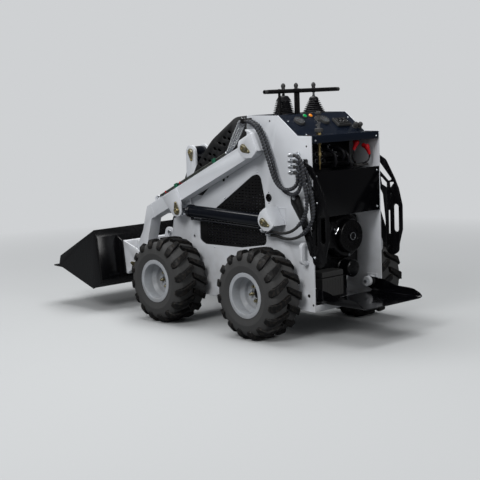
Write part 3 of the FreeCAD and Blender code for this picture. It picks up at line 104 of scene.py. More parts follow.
class Graph:
    """The shader of one material while it is being put together."""

    def __init__(self, name: str) -> None:
        """Starts a material with an empty shader."""
        self.material = bpy.data.materials.new(name)
        self.material.use_nodes = True
        self.nodes = self.material.node_tree.nodes
        self.links = self.material.node_tree.links
        self.shader = self.nodes["Principled BSDF"]
        self.place = self.add("ShaderNodeTexCoord").outputs["Object"]

    def add(self, kind: str, inputs: dict | None = None, **settings) -> bpy.types.Node:
        """Adds a node with its settings and its links.

        Args:
            kind: the node's type.
            inputs: for each socket, by name or number, a value or another node's output.
            settings: the node's own properties.

        Returns:
            The new node.
        """
        node = self.nodes.new(kind)
        for key, value in settings.items():
            setattr(node, key, value)
        self.feed(node, inputs or {})
        return node

    def feed(self, node: bpy.types.Node, inputs: dict) -> None:
        """Sets or links sockets of a node.

        Args:
            node: the node that is fed.
            inputs: for each socket, by name or number, a value or another node's output.
        """
        for key, value in inputs.items():
            if isinstance(value, bpy.types.NodeSocket):
                self.links.new(value, node.inputs[key])
            else:
                node.inputs[key].default_value = value

    def noise(self, size_mm: float, detail: float = 3.0) -> bpy.types.NodeSocket:
        """Gives an even grain whose lumps measure about this many millimetres."""
        return self.add("ShaderNodeTexNoise", {
            "Vector": self.place, "Scale": 1 / (size_mm * MM), "Detail": detail,
        }).outputs["Fac"]

    def ranged(self, value: bpy.types.NodeSocket, start: float, end: float,
               low: float, high: float) -> bpy.types.NodeSocket:
        """Maps start to end onto low to high and clamps the rest."""
        return self.add("ShaderNodeMapRange", {
            "Value": value, "From Min": start, "From Max": end, "To Min": low, "To Max": high,
        }).outputs["Result"]

    def mixed(self, share: bpy.types.NodeSocket, first: object, second: object) -> bpy.types.NodeSocket:
        """Blends two colours by a share."""
        node = self.add("ShaderNodeMix", data_type="RGBA")
        sockets = [s for s in node.inputs if s.enabled]
        for socket, value in zip(sockets, (share, first, second)):
            if isinstance(value, bpy.types.NodeSocket):
                self.links.new(value, socket)
            else:
                socket.default_value = value
        return next(s for s in node.outputs if s.enabled)

    def bumped(self, height: bpy.types.NodeSocket, strength: float, depth_mm: float) -> None:
        """Gives the surface relief from a height."""
        bump = self.add("ShaderNodeBump", {
            "Height": height, "Strength": strength, "Distance": depth_mm * MM,
        })
        self.feed(self.shader, {"Normal": bump.outputs["Normal"]})


@dataclass(frozen=True)
class Finish:
    """What every finish has: a name for its material and a way to dress a piece in it."""

    name: str
    colour: str

    def shade(self, graph: Graph) -> None:
        """Sets up the shader; each kind of finish has its own."""
        raise NotImplementedError

    def material(self) -> bpy.types.Material:
        """Makes the material once and gives the same one each time.

        Returns:
            The Blender material.
        """
        found = bpy.data.materials.get(self.name)
        if found is None:
            graph = Graph(self.name)
            self.shade(graph)
            found = graph.material
        return found


@dataclass(frozen=True)
class PowderCoat(Finish):
    """Baked polyester powder on sheet steel: an even satin skin with a faint orange peel and dust low down."""

    roughness: float = 0.42
    peel_mm: float = 2.6
    peel: float = 0.16
    dust: str = "#8d857a"
    dust_share: float = 0.35
    dust_top: float = 0.62

    def shade(self, graph: Graph) -> None:
        """Builds the coat: colour, dust that thins out with height, roughness and peel."""
        height = graph.add("ShaderNodeSeparateXYZ", {"Vector": graph.place}).outputs["Z"]
        low_down = graph.ranged(height, 0.12, self.dust_top, self.dust_share, 0.02)
        patches = graph.ranged(graph.noise(60, 6.0), 0.38, 0.68, 0.15, 1.0)
        dust = graph.add("ShaderNodeMath", {0: low_down, 1: patches}, operation="MULTIPLY").outputs[0]
        shade = graph.ranged(graph.noise(180, 2.0), 0.35, 0.65, 0.94, 1.0)
        base = graph.add("ShaderNodeVectorMath", {0: linear(self.colour)[:3], "Scale": shade},
                         operation="SCALE").outputs[0]
        graph.feed(graph.shader, {
            "Base Color": graph.mixed(dust, base, linear(self.dust)),
            "Roughness": graph.ranged(graph.noise(35, 4.0), 0.3, 0.7, self.roughness - 0.05,
                                      self.roughness + 0.08),
            "Specular IOR Level": 0.3,
        })
        graph.bumped(graph.noise(self.peel_mm, 1.0), self.peel, 0.12)


@dataclass(frozen=True)
class GlossSheet(Finish):
    """Wet-look lacquer on flat sheet: deep, dark and mirror-like, with faint wipe marks."""

    roughness: float = 0.07

    def shade(self, graph: Graph) -> None:
        """Builds the lacquer: colour, shine and wipe marks in its roughness."""
        stretched = graph.add("ShaderNodeMapping", {"Vector": graph.place, "Scale": (40.0, 12.0, 4.0)})
        wipes = graph.add("ShaderNodeTexNoise", {
            "Vector": stretched.outputs["Vector"], "Scale": 1.0, "Detail": 6.0,
        }).outputs["Fac"]
        graph.feed(graph.shader, {
            "Base Color": linear(self.colour),
            "Roughness": graph.ranged(wipes, 0.35, 0.7, self.roughness, self.roughness + 0.12),
            "Specular IOR Level": 0.32,
        })
        graph.bumped(graph.noise(30, 2.0), 0.05, 0.4)


@dataclass(frozen=True)
class Rubber(Finish):
    """Carbon-black rubber: dull and soft, grey-brown where dust sits in its pores."""

    roughness: float = 0.72
    dust: str = "#57504a"
    dust_share: float = 0.3
    grain_mm: float = 3.0

    def shade(self, graph: Graph) -> None:
        """Builds the rubber: colour, dust patches, roughness and pores."""
        patches = graph.ranged(graph.noise(45, 6.0), 0.45, 0.7, 0.0, self.dust_share)
        graph.feed(graph.shader, {
            "Base Color": graph.mixed(patches, linear(self.colour), linear(self.dust)),
            "Roughness": graph.ranged(graph.noise(12, 4.0), 0.3, 0.7, self.roughness - 0.1,
                                      self.roughness + 0.1),
            "Specular IOR Level": 0.18,
        })
        graph.bumped(graph.noise(self.grain_mm, 3.0), 0.25, 0.3)


@dataclass(frozen=True)
class Plated(Finish):
    """Zinc, brass or chrome plating: metal whose tint and polish wander a little over the surface."""

    tint: str = "#ffffff"
    roughness: float = 0.3
    grain_mm: float = 8.0

    def shade(self, graph: Graph) -> None:
        """Builds the metal: two tints that drift into each other and an uneven polish."""
        graph.feed(graph.shader, {
            "Base Color": graph.mixed(graph.ranged(graph.noise(self.grain_mm, 3.0), 0.35, 0.65, 0.0, 1.0),
                                      linear(self.colour), linear(self.tint)),
            "Roughness": graph.ranged(graph.noise(self.grain_mm / 3, 4.0), 0.3, 0.7,
                                      self.roughness * 0.75, self.roughness * 1.3),
            "Metallic": 1.0,
        })
        graph.bumped(graph.noise(1.2, 1.0), 0.08, 0.05)


@dataclass(frozen=True)
class Moulded(Finish):
    """Injection-moulded plastic or cast metal under paint: fine even texture with a soft sheen."""

    roughness: float = 0.45
    grain_mm: float = 1.6
    grain: float = 0.2

    def shade(self, graph: Graph) -> None:
        """Builds the moulding: colour with a slight drift, texture and sheen."""
        shade = graph.ranged(graph.noise(25, 3.0), 0.3, 0.7, 0.8, 1.15)
        base = graph.add("ShaderNodeVectorMath", {0: linear(self.colour)[:3], "Scale": shade},
                         operation="SCALE").outputs[0]
        graph.feed(graph.shader, {
            "Base Color": base,
            "Roughness": graph.ranged(graph.noise(9, 4.0), 0.3, 0.7, self.roughness - 0.07,
                                      self.roughness + 0.1),
            "Specular IOR Level": 0.25,
        })
        graph.bumped(graph.noise(self.grain_mm, 2.0), self.grain, 0.1)


@dataclass(frozen=True)
class Tread(Finish):
    """Tyre rubber of the lugs: black with a soft sheen, scuffed and dusty in small patches."""

    dust: str = "#3b352f"

    def shade(self, graph: Graph) -> None:
        """Builds the rubber: scuffed patches, an uneven sheen and pores."""
        scuffs = graph.ranged(graph.noise(14, 7.0), 0.48, 0.72, 0.0, 0.5)
        graph.feed(graph.shader, {
            "Base Color": graph.mixed(scuffs, linear(self.colour), linear(self.dust)),
            "Roughness": graph.ranged(graph.noise(9, 5.0), 0.3, 0.7, 0.4, 0.72),
            "Specular IOR Level": 0.2,
        })
        graph.bumped(graph.noise(5.0, 5.0), 0.3, 0.6)


@dataclass(frozen=True)
class Braid(Finish):
    """Stainless wire braid: fine crossed strands, with painted shade darkening the gaps between them."""

    def shade(self, graph: Graph) -> None:
        """Builds the braid from two crossed waves, which also paint shade into the gaps."""
        waves = [graph.add("ShaderNodeTexWave", {"Vector": graph.place, "Scale": 240.0, "Distortion": 0.6},
                           bands_direction=way).outputs["Fac"] for way in ("DIAGONAL", "Z")]
        # Where the two waves are low the colour turns dark grey: painted shade in the gaps between the strands.
        both = graph.add("ShaderNodeMath", {0: waves[0], 1: waves[1]}, operation="MULTIPLY").outputs[0]
        graph.feed(graph.shader, {
            "Base Color": graph.mixed(both, linear("#7d8186"), linear(self.colour)),
            "Roughness": graph.ranged(both, 0.0, 1.0, 0.55, 0.35),
            "Metallic": 0.8,
        })
        graph.bumped(both, 0.5, 0.5)


@dataclass(frozen=True)
class Clear(Finish):
    """Clear or tinted glass and lens plastic."""

    roughness: float = 0.03
    glow: float = 0.0

    def shade(self, graph: Graph) -> None:
        """Builds the glass: tint, smoothness and, in a lit lens, a glow."""
        graph.feed(graph.shader, {
            "Base Color": linear(self.colour),
            "Roughness": graph.ranged(graph.noise(5, 2.0), 0.3, 0.7, self.roughness, self.roughness + 0.03),
            "Transmission Weight": 0.35 if self.glow else 0.96, "IOR": 1.5,
            "Emission Color": linear(self.colour), "Emission Strength": self.glow,
        })


class Coat(Enum):
    """The finishes of the machine, each for one real material, except SHADOW, which is painted shade."""

    # Baked powder coats on sheet steel
    WHITE = PowderCoat("powder_coat_white", "#cbced3")
    BLACK = PowderCoat("powder_coat_black", "#0b0b0d", 0.34, 2.2, 0.2, "#4b463f", 0.12, 0.5)
    CHARCOAL = PowderCoat("powder_coat_charcoal", "#0f1012", 0.42, 2.2, 0.2, "#4b463f", 0.12, 0.5)
    SILVER = PowderCoat("wheel_enamel_silver", "#a4a8ad", 0.32, 3.0, 0.1, "#6f675d", 0.3, 0.5)
    # Gloss lacquer on sheet, and cylinder enamel
    GLOSS = GlossSheet("lacquered_sheet_black", "#050507")
    GUARD_COAT = GlossSheet("lacquered_plate_black", "#08080a", 0.2)
    DECK = GlossSheet("lacquered_sheet_navy", "#0d1420", 0.16)
    BARREL = GlossSheet("cylinder_enamel_black", "#0b0e15", 0.14)
    # Carbon-black rubbers and the hoses' guard
    TYRE = Rubber("tyre_rubber", "#0a0a0b", 0.55, "#2b2724", 0.2)
    TREAD = Tread("tread_rubber", "#0c0c0d")
    BOOT = Rubber("bellows_rubber", "#1b1b1e", 0.34, "#2f2e2e", 0.1)
    HOSE = Rubber("hose_rubber", "#050506", 0.34, "#151414", 0.06)
    # Its grey is partly the guard's own colour and partly painted highlight, so the bands read light against the
    # near-black hose in the grooves.
    GUARD = Moulded("spiral_guard_polyethylene", "#303238", 0.3, 6.0, 0.06)
    PIPE = Plated("phosphated_steel_pipe", "#5b5e5a", "#44463f", 0.34)
    # Plated and bare metals
    ZINC = Plated("zinc_plated_steel", "#d3d6da", "#b3b7bc", 0.3)
    GOLD = Plated("yellow_passivated_zinc", "#b3a88a", "#8c876a", 0.36)
    BRASS = Plated("brass", "#ab9a6e", "#8b7a52", 0.36)
    CHROME = Plated("hard_chrome", "#dfe1e4", "#cfd2d6", 0.1)
    WORN = Plated("scoured_steel", "#8e8a85", "#5f5a55", 0.42, 14.0)
    BRAID = Braid("stainless_wire_braid", "#e6e8ea")
    # Mouldings and castings
    ENGINE = Moulded("engine_enamel_black", "#08080a", 0.3, 2.5, 0.25)
    PLASTIC = Moulded("black_plastic", "#08090a", 0.3)
    RED = Moulded("red_vinyl", "#b3121c", 0.35)
    GREEN = Moulded("green_nylon", "#12583f", 0.45)
    DIAL = Moulded("printed_dial_grey", "#20262d", 0.3)
    MARK = Moulded("white_ink", "#e4e6e8", 0.5)
    # Painted shade: a near-black coat for thin discs and strips that stand for the dark inside of holes and slots.
    SHADOW = Moulded("painted_shade_opening", "#030303", 0.8)
    # Lenses and glass
    GLASS = Clear("gauge_glass", "#f2f6f8")
    LAMP_GREEN = Clear("green_lens", "#0c9a50", 0.08, 0.3)
    LAMP_ORANGE = Clear("orange_lens", "#e08422", 0.08, 0.3)


SLOT_COATS = {
    "pale_paint": Coat.WHITE, "black_paint": Coat.BLACK, "black_gloss": Coat.GLOSS,
    "engine_black": Coat.ENGINE, "black_plastic": Coat.PLASTIC, "zinc": Coat.ZINC,
    "cylinder_black": Coat.BARREL, "rod_chrome": Coat.CHROME, "black_rubber": Coat.BOOT,
    "tyre_rubber": Coat.TYRE, "rim_silver": Coat.SILVER, "charcoal_paint": Coat.CHARCOAL,
    "hose_rubber": Coat.HOSE,
}


def sized(outline: Sequence[Point], steps: int = 5) -> list[tuple[float, float]]:
    """Rounds the corners of an outline.

    Args:
        outline: its corners, each with its two places and, where it is round, a radius.
        steps: straight pieces in each round corner.

    Returns:
        The outline's points.
    """
    points: list[tuple[float, float]] = []
    count = len(outline)
    for index, corner in enumerate(outline):
        here = Vector(corner[:2])
        if len(corner) < 3 or not corner[2]:
            points.append((here.x, here.y))
            continue
        back = Vector(outline[index - 1][:2]) - here
        ahead = Vector(outline[(index + 1) % count][:2]) - here
        half = back.angle(ahead) / 2
        reach = min(corner[2] / math.tan(half), back.length * 0.49, ahead.length * 0.49)
        radius = reach * math.tan(half)
        centre = here + (back.normalized() + ahead.normalized()).normalized() * radius / math.sin(half)
        first, last = here + back.normalized() * reach - centre, here + ahead.normalized() * reach - centre
        turn = math.atan2(first.cross(last), first.dot(last))
        for step in range(steps + 1):
            point = centre + Matrix.Rotation(turn * step / steps, 2) @ first
            points.append((point.x, point.y))
    return points


def circle(u: float, v: float, radius: float, sides: int = 24) -> list[tuple[float, float]]:
    """Gives the points of a round hole or disc about (u, v)."""
    return [(u + radius * math.cos(math.tau * k / sides), v + radius * math.sin(math.tau * k / sides))
            for k in range(sides)]


def across(axis: str, start: float = 0.0) -> Matrix:
    """Turns a flat plate, drawn in its own plane, square to an axis of the machine.

    Args:
        axis: the axis that the plate's thickness follows.
        start: where on that axis the plate's first face lies.

    Returns:
        The matrix from the plate's drawing to the machine.
    """
    rows = {"X": ((0, 0, 1, start), (1, 0, 0, 0), (0, 1, 0, 0)),
            "Y": ((1, 0, 0, 0), (0, 0, 1, start), (0, 1, 0, 0)),
            "Z": ((1, 0, 0, 0), (0, 1, 0, 0), (0, 0, 1, start))}[axis]
    return Matrix((*rows, (0, 0, 0, 1)))


def facing(at: Point, way: Point, roll: float = 0.0) -> Matrix:
    """Puts a turned form's axis at a place and along a direction.

    Args:
        at: where its start goes.
        way: the direction that its axis follows.
        roll: its turn about that axis, in degrees.

    Returns:
        The matrix from the form's own place to the machine.
    """
    turn = Vector((0, 0, 1)).rotation_difference(Vector(way)).to_matrix().to_4x4()
    return Matrix.Translation(Vector(at)) @ turn @ Matrix.Rotation(math.radians(roll), 4, "Z")


def plate(outline: Sequence[Point], thick: float, holes: Sequence[Sequence[Point]] = (),
          edge: float = 1.0) -> bmesh.types.BMesh:
    """Cuts a plate and softens its edges.

    Args:
        outline: its corners, with a radius where they are round.
        thick: its thickness.
        holes: the outlines of its openings.
        edge: the radius along its edges.

    Returns:
        The plate, drawn flat with its thickness upwards.
    """
    shape = bmesh.new()
    loops = []
    for loop in (outline, *holes):
        corners = [shape.verts.new((u, v, 0.0)) for u, v in sized(loop)]
        loops.append(corners)
    if holes:
        edges = [shape.edges.new(pair) for loop in loops for pair in zip(loop, loop[1:] + loop[:1])]
        bmesh.ops.triangle_fill(shape, use_beauty=True, use_dissolve=False, edges=edges)
    else:
        shape.faces.new(loops[0])
    raised = bmesh.ops.extrude_face_region(shape, geom=shape.faces[:])["geom"]
    bmesh.ops.translate(shape, vec=(0, 0, thick),
                        verts=[v for v in raised if isinstance(v, bmesh.types.BMVert)])
    bmesh.ops.recalc_face_normals(shape, faces=shape.faces)
    rims = [e for e in shape.edges if len(e.link_faces) == 2 and e.calc_face_angle() > 1.2
            and abs(e.verts[0].co.z - e.verts[1].co.z) < 1e-6]
    if edge:
        bmesh.ops.bevel(shape, geom=rims, offset=edge, segments=2, profile=0.5, affect="EDGES",
                        material=-1, clamp_overlap=True)
    return shape


def box(length: float, width: float, height: float, edge: float = 1.5,
        segments: int = 3) -> bmesh.types.BMesh:
    """Makes a block about its own middle with rounded edges."""
    shape = bmesh.new()
    bmesh.ops.create_cube(shape, size=1.0)
    bmesh.ops.scale(shape, vec=(length, width, height), verts=shape.verts)
    if edge:
        bmesh.ops.bevel(shape, geom=shape.edges[:], offset=edge, segments=segments, profile=0.5,
                        affect="EDGES", material=-1, clamp_overlap=True)
    return shape


def turned(profile: Sequence[Point], sides: int = 32, square: float = 0.0) -> bmesh.types.BMesh:
    """Turns a profile about the Z axis.

    Args:
        profile: points, each with its place along the axis and its radius.
        sides: flat pieces around the axis.
        square: 0 for round, up to 1 for a square with round corners.

    Returns:
        The turned form.
    """
    shape = bmesh.new()
    points = [shape.verts.new((radius, 0.0, along)) for along, radius in profile]
    edges = [shape.edges.new(pair) for pair in zip(points, points[1:])]
    bmesh.ops.spin(shape, geom=points + edges, axis=(0, 0, 1), cent=(0, 0, 0), dvec=(0, 0, 0),
                   angle=math.tau, steps=sides, use_merge=True, use_duplicate=False)
    bmesh.ops.remove_doubles(shape, verts=shape.verts, dist=0.001)
    if square:
        for vert in shape.verts:
            angle = math.atan2(vert.co.y, vert.co.x)
            reach = max(abs(math.cos(angle)), abs(math.sin(angle)))
            vert.co.x *= 1 + square * (1 / reach - 1)
            vert.co.y *= 1 + square * (1 / reach - 1)
    return shape


def swept(points: Sequence[Vector], sides: int,
          radius: Callable[[float, float], float]) -> bmesh.types.BMesh:
    """Sweeps a round section along a line.

    Args:
        points: the line's points.
        sides: flat pieces around it.
        radius: gives the radius for a length along the line and an angle about it.

    Returns:
        The closed tube.
    """
    shape = bmesh.new()
    rings = []
    length = 0.0
    normal = None
    last = None
    for index, point in enumerate(points):
        ahead = points[min(index + 1, len(points) - 1)] - points[max(index - 1, 0)]
        ahead.normalize()
        if normal is None:
            normal = ahead.orthogonal().normalized()
        else:
            length += (point - points[index - 1]).length
            normal = last.rotation_difference(ahead) @ normal
        last = ahead
        side = ahead.cross(normal)
        rings.append([
            shape.verts.new(point + (normal * math.cos(a) + side * math.sin(a)) * radius(length, a))
            for a in (math.tau * k / sides for k in range(sides))])
    for low, high in zip(rings, rings[1:]):
        for k in range(sides):
            shape.faces.new((low[k], low[(k + 1) % sides], high[(k + 1) % sides], high[k]))
    shape.faces.new(rings[0][::-1])
    shape.faces.new(rings[-1])
    return shape


def spline(name: str, route: Sequence[Point], radius: float = 0.0) -> bpy.types.Object:
    """Draws a smooth open curve near a route's points.

    Args:
        name: the curve's name.
        route: its points, in millimetres.
        radius: the radius of the round section along it, in millimetres.

    Returns:
        The curve object, in the frame's metres.
    """
    data = bpy.data.curves.new(name, "CURVE")
    data.dimensions = "3D"
    data.resolution_u = 10
    data.bevel_depth = radius * MM
    data.bevel_resolution = 4
    data.use_fill_caps = True
    line = data.splines.new("NURBS")
    line.points.add(len(route) - 1)
    for point, place in zip(line.points, route):
        point.co = (*placed(place), 1.0)
    line.order_u = 3
    line.use_endpoint_u = True
    return bpy.data.objects.new(name, data)


def line_points(curve: bpy.types.Object) -> list[Vector]:
    """Reads the points that a curve without a section runs through, in millimetres."""
    mesh = bpy.data.meshes.new_from_object(curve)
    points = [Vector((v.co.x / MM - SHIFT_X, v.co.y / MM, v.co.z / MM)) for v in mesh.vertices]
    bpy.data.meshes.remove(mesh)
    return points


def evenly(points: Sequence[Vector], step: float) -> list[Vector]:
    """Places points at even steps along a line.

    Args:
        points: the line's own points.
        step: the distance between two new points.

    Returns:
        The new points, the line's ends among them.
    """
    lengths = [0.0]
    for first, second in zip(points, points[1:]):
        lengths.append(lengths[-1] + (second - first).length)
    count = max(2, round(lengths[-1] / step))
    placed_points = []
    index = 0
    for number in range(count + 1):
        target = lengths[-1] * number / count
        while index < len(points) - 2 and lengths[index + 1] < target:
            index += 1
        share = (target - lengths[index]) / max(lengths[index + 1] - lengths[index], 1e-9)
        placed_points.append(points[index].lerp(points[index + 1], share))
    return placed_points


class Shape:
    """A piece in the making: its forms in millimetres, each with its finish."""

    def __init__(self, name: str, body: str = "chassis") -> None:
        """Starts an empty piece that rides on a body of the frame."""
        self.name = name
        self.body = body
        self.mesh = bmesh.new()
        self.coats: list[Coat] = []

    def take(self, form: bmesh.types.BMesh, coat: "Coat", turn: Matrix | None = None) -> None:
        """Adds a form and frees it.

        Args:
            form: the form.
            coat: its finish.
            turn: the matrix that puts it in place.
        """
        if coat not in self.coats:
            self.coats.append(coat)
        if turn is not None:
            bmesh.ops.transform(form, matrix=turn, verts=form.verts)
        bmesh.ops.recalc_face_normals(form, faces=form.faces)
        for face in form.faces:
            face.material_index = self.coats.index(coat)
            face.smooth = True
        scratch = bpy.data.meshes.new("scratch")
        form.to_mesh(scratch)
        form.free()
        self.mesh.from_mesh(scratch)
        bpy.data.meshes.remove(scratch)

    def bolt(self, at: Point, way: Point, size: float = 8.0, coat: "Coat | None" = None,
             dome: bool = False, washer: bool = True) -> None:
        """Sets a bolt's head and washer on a face.

        Args:
            at: the middle of the seat.
            way: the direction that the head points in.
            size: the thread's diameter.
            coat: the head's finish, zinc if it isn't given.
            dome: True for a round head with a socket.
            washer: True to set it on a washer.
        """
        coat = coat or Coat.ZINC
        base = 0.0
        if washer:
            self.take(turned([(0, 0), (0, size), (size * 0.16, size), (size * 0.2, size * 0.94),
                              (size * 0.2, 0)], 24), coat, facing(at, way))
            base = size * 0.18
        place = Vector(at) + Vector(way).normalized() * base
        roll = (at[0] * 7 + at[2] * 3) % 60
        if dome:
            self.take(turned([(0, 0), (0, size * 0.9), (size * 0.2, size * 0.88), (size * 0.42, size * 0.66),
                              (size * 0.55, size * 0.36), (size * 0.3, size * 0.3), (size * 0.3, 0)], 20),
                      coat, facing(place, way))
        else:
            head = turned([(0, 0), (0, size * 0.88), (size * 0.55, size * 0.88), (size * 0.66, size * 0.74),
                           (size * 0.66, 0)], 6)
            self.take(head, coat, facing(place, way, roll))
            if size > 11:
                self.take(turned([(0, 0), (0, size * 0.5), (size, size * 0.5), (size * 1.1, size * 0.4),
                                  (size * 1.1, 0)], 12), coat, facing(place, way))

    def pipe(self, route: Sequence[Point], radius: float, coat: "Coat", sides: int = 12) -> None:
        """Adds a bent pipe along a route."""
        points = evenly(line_points(spline(self.name + "_route", route)), radius * 1.2)
        self.take(swept(points, sides, lambda along, angle: radius), coat)

    def finish(self, *nodes: str, slot: str | None = None, sharp: float = 34.0,
               rigid: bool = True) -> bpy.types.Object:
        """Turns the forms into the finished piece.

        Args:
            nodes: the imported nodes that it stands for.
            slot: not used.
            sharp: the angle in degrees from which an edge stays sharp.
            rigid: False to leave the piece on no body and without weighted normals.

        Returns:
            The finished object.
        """
        bmesh.ops.transform(self.mesh, verts=self.mesh.verts, matrix=Matrix.Diagonal(
            (MM, MM, MM, 1)) @ Matrix.Translation((SHIFT_X, 0, 0)))
        mesh = bpy.data.meshes.new(self.name)
        self.mesh.to_mesh(mesh)
        self.mesh.free()
        mesh.set_sharp_from_angle(angle=math.radians(sharp))
        for coat in self.coats:
            mesh.materials.append(coat.value.material())
        piece = bpy.data.objects.new(self.name, mesh)
        bpy.context.scene.collection.objects.link(piece)
        if rigid:
            weigh = piece.modifiers.new("weighted_normals", "WEIGHTED_NORMAL")
            weigh.keep_sharp = True
            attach(piece, self.body)
        if nodes:
            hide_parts(*nodes)
        log.info("%s: %d faces", self.name, len(mesh.polygons))
        return piece


@dataclass
class Camera:
    """The camera at the photograph's place: fitted to the wheels, hull plates and deck corners."""

    place: Point = (-4804.3, 4552.3, 1337.0)
    yaw: float = -42.377
    pitch: float = 6.4337
    roll: float = 1.8347
    focal_pixels: float = 1200.26
    centre_row: float = 213.0
    sensor_mm: float = 36.0

    def build(self) -> None:
        """Makes the camera and looks through it."""
        yaw, pitch, roll = (math.radians(a) for a in (self.yaw, self.pitch, self.roll))
        ahead = Vector((math.cos(yaw) * math.cos(pitch), math.sin(yaw) * math.cos(pitch),
                        -math.sin(pitch)))
        level = Vector((math.sin(yaw), -math.cos(yaw), 0.0))
        down = ahead.cross(level)
        right = math.cos(roll) * level + math.sin(roll) * down
        below = math.cos(roll) * down - math.sin(roll) * level
        data = bpy.data.cameras.new("camera")
        data.sensor_width = self.sensor_mm
        data.lens = self.focal_pixels / IMAGE_SIDE * self.sensor_mm
        data.shift_y = (self.centre_row - IMAGE_SIDE / 2) / IMAGE_SIDE
        camera = bpy.data.objects.new("camera", data)
        turn = Matrix((right, -below, -ahead)).transposed()
        camera.matrix_world = Matrix.Translation(placed(self.place)) @ turn.to_4x4()
        bpy.context.scene.collection.objects.link(camera)
        bpy.context.scene.camera = camera


@dataclass
class Studio:
    """A pale floor that melts into a pale surround, and soft lamps."""

    floor_reach: float = 40.0
    floor_colour: str = "#b3b5b6"
    bounce_colour: str = "#77797b"
    tone: str = "#cfd1d3"
    room_light: float = 0.42
    mirrored_light: float = 0.13
    lamps: tuple[tuple[str, Point, float, float], ...] = (
        ("key_lamp", (-1.8, 4.4, 3.6), 1.8, 150.0),
        ("top_lamp", (0.6, -0.2, 4.6), 3.2, 190.0),
        ("rear_lamp", (-4.8, 0.4, 2.4), 1.6, 60.0),
        ("front_lamp", (4.4, 2.4, 2.8), 2.6, 50.0),
    )

    def build(self) -> None:
        """Makes the floor, the surround and the lamps."""
        shape = bmesh.new()
        bmesh.ops.create_grid(shape, x_segments=1, y_segments=1, size=self.floor_reach)
        mesh = bpy.data.meshes.new("floor")
        shape.to_mesh(mesh)
        shape.free()
        floor = bpy.data.objects.new("floor", mesh)
        bpy.context.scene.collection.objects.link(floor)
        floor.data.materials.append(self.floor_material())
        for name, place, size, power in self.lamps:
            self.lamp(name, place, size, power)
        self.surround()

    def floor_material(self) -> bpy.types.Material:
        """Makes the matt floor, which fades to the surround's tone far from the machine.

        It throws back less light than it shows, so the machine's black coats stay deep.
        """
        graph = Graph("studio_floor")
        away = graph.add("ShaderNodeVectorMath", {0: graph.place}, operation="LENGTH").outputs["Value"]
        seen = graph.add("ShaderNodeLightPath", {}).outputs["Is Camera Ray"]
        graph.feed(graph.shader, {
            "Base Color": graph.mixed(seen, linear(self.bounce_colour), linear(self.floor_colour)),
            "Roughness": graph.ranged(graph.noise(4, 4.0), 0.3, 0.7, 0.75, 0.9),
            "Specular IOR Level": 0.2,
        })
        far = graph.add("ShaderNodeEmission", {
            "Color": linear(self.tone), "Strength": graph.ranged(seen, 0.0, 1.0, self.mirrored_light, 1.0)})
        blend = graph.add("ShaderNodeMixShader", {
            0: graph.ranged(away, 1.5, 4.6, 0.0, 1.0), 1: graph.shader.outputs["BSDF"],
            2: far.outputs["Emission"],
        })
        graph.feed(graph.nodes["Material Output"], {"Surface": blend.outputs["Shader"]})
        return graph.material

    def lamp(self, name: str, place: Point, size: float, power: float) -> None:
        """Hangs one square soft lamp that faces the machine.

        Args:
            name: the lamp's name.
            place: where it hangs, in metres from the machine's middle.
            size: its side in metres.
            power: its power in watts.
        """
        data = bpy.data.lights.new(name, "AREA")
        data.size = size
        data.energy = power
        lamp = bpy.data.objects.new(name, data)
        lamp.location = place
        aim = Vector((0.0, 0.0, 0.5)) - Vector(place)
        lamp.rotation_euler = aim.to_track_quat("-Z", "Y").to_euler()
        bpy.context.scene.collection.objects.link(lamp)

    def surround(self) -> None:
        """Fills the room with an even pale light, brighter to the camera and darker in mirroring coats."""
        world = bpy.data.worlds.new("surround")
        world.use_nodes = True
        nodes, links = world.node_tree.nodes, world.node_tree.links
        background = nodes["Background"]
        background.inputs["Color"].default_value = linear(self.tone)
        ray = nodes.new("ShaderNodeLightPath")
        mirrored = nodes.new("ShaderNodeMapRange")
        mirrored.inputs["To Min"].default_value = self.room_light
        mirrored.inputs["To Max"].default_value = self.mirrored_light
        strength = nodes.new("ShaderNodeMapRange")
        strength.inputs["To Max"].default_value = 1.0
        links.new(ray.outputs["Is Glossy Ray"], mirrored.inputs["Value"])
        links.new(mirrored.outputs["Result"], strength.inputs["To Min"])
        links.new(ray.outputs["Is Camera Ray"], strength.inputs["Value"])
        links.new(strength.outputs["Result"], background.inputs["Strength"])
        bpy.context.scene.world = world


